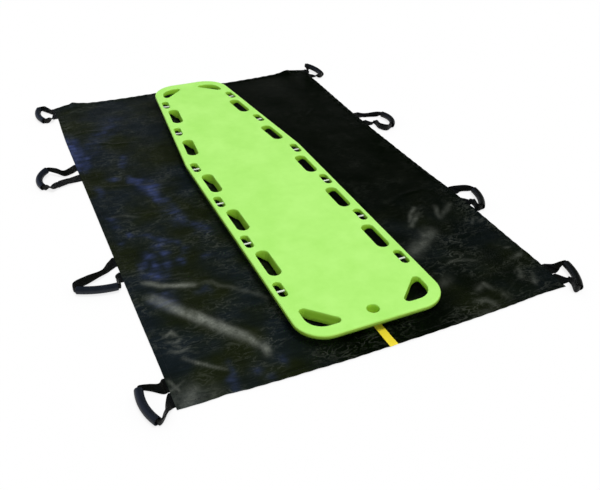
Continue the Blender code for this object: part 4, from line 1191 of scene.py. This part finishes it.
def roundedPolygon(corners, segments):
    # corners are (x, y, radius), counter-clockwise; each becomes an arc
    outline = []
    count = len(corners)
    for index, (x, y, radius) in enumerate(corners):
        here = Vector((x, y))
        before = (Vector(corners[index - 1][:2]) - here).normalized()
        after = (Vector(corners[(index + 1) % count][:2]) - here).normalized()
        half = before.angle(after) / 2
        centre = here + (before + after).normalized() * (radius / math.sin(half))
        start = here + before * (radius / math.tan(half)) - centre
        sweep = math.pi - 2 * half
        for step in range(segments + 1):
            angle = sweep * step / segments
            outline.append((centre.x + start.x * math.cos(angle) - start.y * math.sin(angle),
                            centre.y + start.x * math.sin(angle) + start.y * math.cos(angle)))
    return np.array(outline)


def slotOutline(length, width, segments=10):
    radius = width / 2
    straight = length / 2 - radius
    outline = []
    for end, first in ((straight, 0.0), (-straight, math.pi)):
        for step in range(segments + 1):
            angle = first + math.pi * step / segments
            outline.append((radius * math.cos(angle), end + radius * math.sin(angle)))
    return np.array(outline)


def spacedOutline(outline, longest):
    # points added along the long stretches
    result = []
    for here, after in zip(outline, np.roll(outline, -1, axis=0)):
        count = max(1, math.ceil(np.linalg.norm(after - here) / longest))
        result += [here + (after - here) * index / count for index in range(count)]
    return np.array(result)


def outwardNormals(outline):
    step = np.roll(outline, -1, axis=0) - np.roll(outline, 1, axis=0)
    normal = np.stack([step[:, 1], -step[:, 0]], -1)
    return normal / np.linalg.norm(normal, axis=1, keepdims=True)


def boardHalfWidth(station):
    return board["width"] / 2 - max(0.0, station - board["taperStart"]) * math.tan(taperAngle)


def openingOutline(outline, station, inset, side):
    angle = side * taperAngle if station > board["taperStart"] else 0.0
    reach = boardHalfWidth(station) - inset / math.cos(angle)
    turn = np.array(((math.cos(angle), -math.sin(angle)), (math.sin(angle), math.cos(angle))))
    return outline @ turn.T + (side * reach, station)


def boardHoles():
    # the through openings, in board coordinates, counter-clockwise
    holes = []
    for key, sizeKey in (("handholds", "handholdSize"), ("pinSlots", "pinSlotSize")):
        length, width, inset = board[sizeKey]
        for share in board[key]:
            for side in (-1, 1):
                holes.append(openingOutline(slotOutline(length, width), share * board["length"], inset, side))
    tip = board["holdTipRadius"]
    for way, (endWall, along, across, outer) in ((-1, board["headHold"]), (1, board["footHold"])):
        outerY = way * (board["length"] / 2 - endWall)
        innerY = outerY - way * along
        outerX = boardHalfWidth(outerY) - board["holdSideWall"]
        innerX = boardHalfWidth(innerY) - board["holdSideWall"]
        corners = [(innerX, innerY, tip), (outerX, outerY, outer), (outerX - across, outerY, tip)]
        if way < 0:
            corners.reverse()
        outline = roundedPolygon(corners, 10)
        holes += [outline, outline[::-1] * (-1, 1)]
    radius, endGap = board["hangingHole"]
    holes.append(circleOutline(radius, -board["length"] / 2 + endGap + radius))
    return [spacedOutline(hole, 0.010) for hole in holes]


def insideOutline(points, outline):
    x, y = points[:, :1], points[:, 1:]
    x0, y0 = outline.T
    x1, y1 = np.roll(outline, -1, axis=0).T
    crosses = (y0 > y) != (y1 > y)
    where = x0 + (y - y0) * (x1 - x0) / np.where(y1 == y0, 1e-12, y1 - y0)
    return (np.sum(crosses & (x < where), axis=1) % 2) == 1


def distanceTo(points, outline):
    # from each point to the nearest place on a closed outline
    nearest = np.full(len(points), farAway)
    for here, after in zip(outline, np.roll(outline, -1, axis=0)):
        step = after - here
        share = np.clip((points - here) @ step / (step @ step), 0, 1)
        gap = points - here - share[:, None] * step
        nearest = np.minimum(nearest, np.hypot(gap[:, 0], gap[:, 1]))
    return nearest


def deckFaces(points, loops, spacing, creases=()):
    # triangles of the region inside the first loop and outside the others; loops index points, and
    # creases are rows of further points that the triangles follow
    region = points[:, :2]
    outer = region[loops[0]]
    low, high = outer.min(0), outer.max(0)
    gridX, gridY = np.meshgrid(np.arange(low[0], high[0], spacing), np.arange(low[1], high[1], spacing))
    extra = np.stack([gridX.reshape(-1), gridY.reshape(-1)], -1)
    for crease in creases:
        extra = extra[distanceTo(extra, crease) > spacing * 0.4]
    extra = np.concatenate([extra, *creases])
    extra = extra[insideOutline(extra, outer)]
    for loop in loops[1:]:
        extra = extra[~insideOutline(extra, region[loop])]
    edgePoints = region[np.concatenate(loops)]
    tree = kdtree.KDTree(len(edgePoints))
    for index, (x, y) in enumerate(edgePoints):
        tree.insert((x, y, 0.0), index)
    tree.balance()
    gaps = np.array([tree.find((x, y, 0.0))[2] for x, y in extra])
    extra = extra[gaps > min(spacing * 0.45, 0.006)]
    used = np.concatenate(loops)
    flat = [Vector(p) for p in region[used]] + [Vector(p) for p in extra]
    edges, start = [], 0
    for loop in loops:
        count = len(loop)
        edges += [(start + index, start + (index + 1) % count) for index in range(count)]
        start += count
    made = geometry.delaunay_2d_cdt(flat, edges, [], 0, 1e-7, True)
    origins = [source[0] for source in made[3]]
    triangles = np.array([[origins[i] for i in face] for face in made[2]])
    allPoints = np.concatenate([region[used], extra])
    centres = allPoints[triangles].mean(1)
    keep = insideOutline(centres, outer)
    for loop in loops[1:]:
        keep &= ~insideOutline(centres, region[loop])
    index = np.concatenate([used, len(points) + np.arange(len(extra))])
    return index[triangles[keep]], extra


def sinkWave(x, y):
    wide = valueNoise(x / 0.09 + 5, y / 0.13 + 5, 5)
    return board["sink"] * (wide + 0.5 * valueNoise(x / 0.04, y / 0.05, 6))


def undersideHeight(inset):
    # the rim's underside near the outline, sloping down to the hull's
    outer, inner = board["hullInsets"]
    share = np.clip((inset - outer) / (inner - outer), 0, 1)
    share = share * 0.8 + 0.2 * share * share * (3 - 2 * share)
    return board["rimBottom"] + (board["bottom"] - board["rimBottom"]) * share


def makeBoard():
    bottom, top = board["bottom"], board["top"]
    rimBottom = board["rimBottom"]
    end = board["length"] / 2
    half = [(board["footWidth"] / 2, end, board["footRadius"]),
            (board["width"] / 2, board["taperStart"], board["shoulderRadius"]),
            (board["width"] / 2, -end, board["headRadius"])]
    corners = half[::-1] + [(-x, y, radius) for x, y, radius in half]
    outline = spacedOutline(roundedPolygon(corners, 20), board["outlineStep"])
    low = board["bottomRound"]
    wide, tall = board["rimRound"]
    middle = (rimBottom + top - board["partingDrop"]) / 2
    quarter = np.linspace(0, math.pi / 2, 8)
    # rim profile from the underside to the deck: (inward, height)
    rim = [(low + board["rimLead"], rimBottom)]
    rim += [(low * (1 - math.sin(a)), rimBottom + low * (1 - math.cos(a))) for a in quarter]
    rim += [(0.0, middle - 0.0010), (-board["ridge"], middle - 0.0003),
            (-board["ridge"], middle + 0.0003), (0.0, middle + 0.0010)]
    rim += [(wide * (1 - math.cos(a)), top - tall + tall * math.sin(a)) for a in quarter]
    rim.append((wide + board["rimLead"], top))
    fillet = board["holeRound"]
    # hole profile from the underside to the deck: (outward from the hole, height)
    wall = [(fillet + board["holeLead"], bottom)]
    wall += [(fillet * (1 - math.sin(a)), bottom + fillet * (1 - math.cos(a))) for a in quarter[::2]]
    wall += [(0.0, bottom + 0.012), (-0.0003, bottom + 0.022), (0.0, top - board["holeTopPart"])]
    wall += [(fillet * (1 - math.cos(a)), top - fillet * (1 - math.sin(a))) for a in quarter[::2]]
    wall.append((fillet + board["holeLead"], top))
    points, faces, lowLoops, highLoops = [], [], [], []
    total = 0

    def addRings(loop, profile, way):
        nonlocal total
        normals = outwardNormals(loop)
        count = len(loop)
        starts = []
        for offset, height in profile:
            ring = loop + normals * offset * way
            points.append(np.column_stack([ring, np.full(count, height)]))
            starts.append(total)
            total += count
        faces.extend(tubeFaces(len(profile), count, starts[0]))
        lowLoops.append(np.arange(starts[0], starts[0] + count))
        highLoops.append(np.arange(starts[-1], starts[-1] + count))

    addRings(outline, rim, -1)
    holeStart = total
    for hole in boardHoles():
        addRings(hole, wall, 1)
    holeEnd = total
    # the plug's blind hole in the underside
    plug = circleOutline(board["plugRadius"], -end + board["plugFromHead"])
    depth = [(0.0, bottom), (0.0, bottom + board["plugDepth"] + 0.0003)]
    addRings(plug, depth, 1)
    plugTop = highLoops.pop()
    faces.append(tuple(int(i) for i in plugTop))
    vertices = np.concatenate(points)
    # the walls of the holes end at the underside, wherever that is
    walls = vertices[holeStart:holeEnd]
    fixed = top - board["holeTopPart"]
    under = undersideHeight(distanceTo(walls[:, :2], outline))
    lowered = under + (walls[:, 2] - bottom) * (fixed - under) / (fixed - bottom)
    walls[:, 2] = np.where(walls[:, 2] > fixed - 1e-6, walls[:, 2], lowered)
    deck, extra = deckFaces(vertices, highLoops, 0.022)
    vertices = np.concatenate([vertices, np.column_stack([extra, np.full(len(extra), top)])])
    creases = [spacedOutline(outline - outwardNormals(outline) * inset, 0.009)
               for inset in board["hullInsets"]]
    under, extra = deckFaces(vertices, lowLoops, board["underStep"], creases)
    heights = undersideHeight(distanceTo(extra, outline))
    vertices = np.concatenate([vertices, np.column_stack([extra, heights])])
    faces += [tuple(int(i) for i in face) for face in deck] + [tuple(int(i) for i in face) for face in under]
    share = easeStep(vertices[:, 2], top - tall, top)
    vertices[:, 2] += share * sinkWave(vertices[:, 0], vertices[:, 1])
    # the share that gets the painted shade of the rim's outer side
    outer = 1 - easeStep(distanceTo(vertices[:, :2], outline), 0.012, 0.018)
    vertices[:, :2] += board["centre"]
    item = makeObject("boardShell", vertices, faces, limePlastic)
    item.data.attributes.new("outerSide", "FLOAT", "POINT").data.foreach_set("value", outer)
    return item


def makeRunners():
    # two rounded ribs under the board, with sloped ends
    vertices, faces = [], []
    end = board["length"] / 2
    head, foot = -end + board["runnerEndGap"], end - board["runnerEndGap"]
    half = board["runnerWidth"] / 2
    low, base = board["runnerBottom"], board["bottom"] + 0.001
    narrowing = (board["width"] - board["footWidth"]) / 8
    section = [(-half, 1.0), (-half + 0.002, 0.45)]
    # the foot's rounding: its place in from the side, its width, and its share of the height
    inset, rounding, portion = board["runnerFoot"]
    section += [(-half + inset - rounding * math.cos(a), portion - portion * math.sin(a))
                for a in np.linspace(0, math.pi / 2, 6)]
    section += [(-x, z) for x, z in section[::-1]]
    for side in (-1, 1):
        rows = []
        for y in np.concatenate([np.linspace(head, head + 0.03, 7), np.linspace(head + 0.06, foot - 0.06, 40),
                                 np.linspace(foot - 0.03, foot, 7)]):
            fromEnd = min(y - head, foot - y)
            grow = float(easeStep(np.array(fromEnd), -0.004, 0.030)) ** 0.6
            taper = narrowing * max(0.0, y - board["taperStart"]) / (foot - board["taperStart"])
            middle = side * (board["runnerOffset"] - taper)
            height = base - low
            rows.append([(middle + x, y, base - height * (1 - z) * grow) for x, z in section])
        start = len(vertices)
        count = len(section)
        vertices += [point for row in rows for point in row]
        faces += tubeFaces(len(rows), count, start)
        faces.append(tuple(start + index for index in range(count)))
        faces.append(tuple(start + (len(rows) - 1) * count + index for index in range(count)))
    moved = np.array(vertices)
    moved[:, :2] += board["centre"]
    return makeObject("boardRunners", moved, faces, limePlastic)


shell = makeBoard()
runners = makeRunners()
for piece in (shell, runners):
    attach(piece, "board")
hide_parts("board_shell")
solidLooks = {"pin": whiteRod, "board_foam_core": creamFoam, "board_foam_plug": limePlastic}
for name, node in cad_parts.items():
    for start, material in solidLooks.items():
        if name.startswith(start):
            for slot in node.material_slots:
                slot.material = material
print("board made")

# Floor, world and lamps
studio = {
    "floorDrop": 0.0006, "floorSize": 60.0, "floorGlow": 0.80,
    "sunStrength": 1.9, "sunAngle": 24.0, "sunFrom": (0.06, -0.26, 0.96), "ambient": 0.46,
    "ceiling": (0.03, 0.03, 0.03, 1.0), "window": (0.46, 0.54, 0.86, 1.0), "windowFrom": (-0.62, 0.62, 0.48),
}


def makeFloor():
    material, tree, shader = startMaterial("white studio floor")
    feed(tree, shader, {"Base Color": (0.96, 0.96, 0.96, 1.0), "Roughness": 1.0, "Specular IOR Level": 0.0})
    seen = addNode(tree, "ShaderNodeLightPath").outputs["Is Camera Ray"]
    glow = addNode(tree, "ShaderNodeEmission", inputs={"Color": (1, 1, 1, 1), "Strength": 1.0})
    mix = addNode(tree, "ShaderNodeMixShader", inputs={
        0: reckon(tree, "MULTIPLY", seen, studio["floorGlow"]), 1: shader.outputs[0], 2: glow.outputs[0]})
    output = next(node for node in tree.nodes if node.type == "OUTPUT_MATERIAL")
    feed(tree, output, {"Surface": mix.outputs[0]})
    size = studio["floorSize"] / 2
    drop = -studio["floorDrop"]
    floor = makeObject("studioFloor", [(-size, -size, drop), (size, -size, drop), (size, size, drop),
                                       (-size, size, drop)], [(0, 1, 2, 3)], material, smooth=False)


def makeWorld():
    white = (1.0, 1.0, 1.0, 1.0)
    world = bpy.data.worlds.new("studioWorld")
    scene.world = world
    world.use_nodes = True
    tree = world.node_tree
    tree.nodes.clear()
    way = addNode(tree, "ShaderNodeTexCoord").outputs["Generated"]
    height = addNode(tree, "ShaderNodeSeparateXYZ", inputs={0: way}).outputs["Z"]
    # reflections see a white band at the horizon under a dark ceiling, and a pale blue window
    band = spread(tree, height, 0.06, 0.20, 1.0, 0.0, "SMOOTHSTEP")
    facing = addNode(tree, "ShaderNodeVectorMath", {"operation": "DOT_PRODUCT"},
                     {0: way, 1: Vector(studio["windowFrom"]).normalized()}).outputs["Value"]
    window = spread(tree, facing, 0.80, 0.95, ease="SMOOTHSTEP")
    mirrored = mixColours(tree, band, mixColours(tree, window, studio["ceiling"], studio["window"]), white)
    path = addNode(tree, "ShaderNodeLightPath").outputs
    plain = mixColours(tree, path["Is Glossy Ray"], (studio["ambient"],) * 3 + (1.0,), mirrored)
    seen = reckon(tree, "MAXIMUM", path["Is Camera Ray"], path["Is Transmission Ray"])
    light = addNode(tree, "ShaderNodeBackground", inputs={
        "Color": mixColours(tree, seen, plain, white), "Strength": 1.0})
    addNode(tree, "ShaderNodeOutputWorld", inputs={"Surface": light.outputs[0]})


def makeSun():
    data = bpy.data.lights.new("softSun", "SUN")
    data.energy = studio["sunStrength"]
    data.angle = math.radians(studio["sunAngle"])
    item = bpy.data.objects.new("softSun", data)
    item.rotation_euler = Vector(studio["sunFrom"]).to_track_quat("Z", "Y").to_euler()
    item.visible_glossy = False
    scene.collection.objects.link(item)


makeFloor()
makeWorld()
makeSun()
print("studio made")
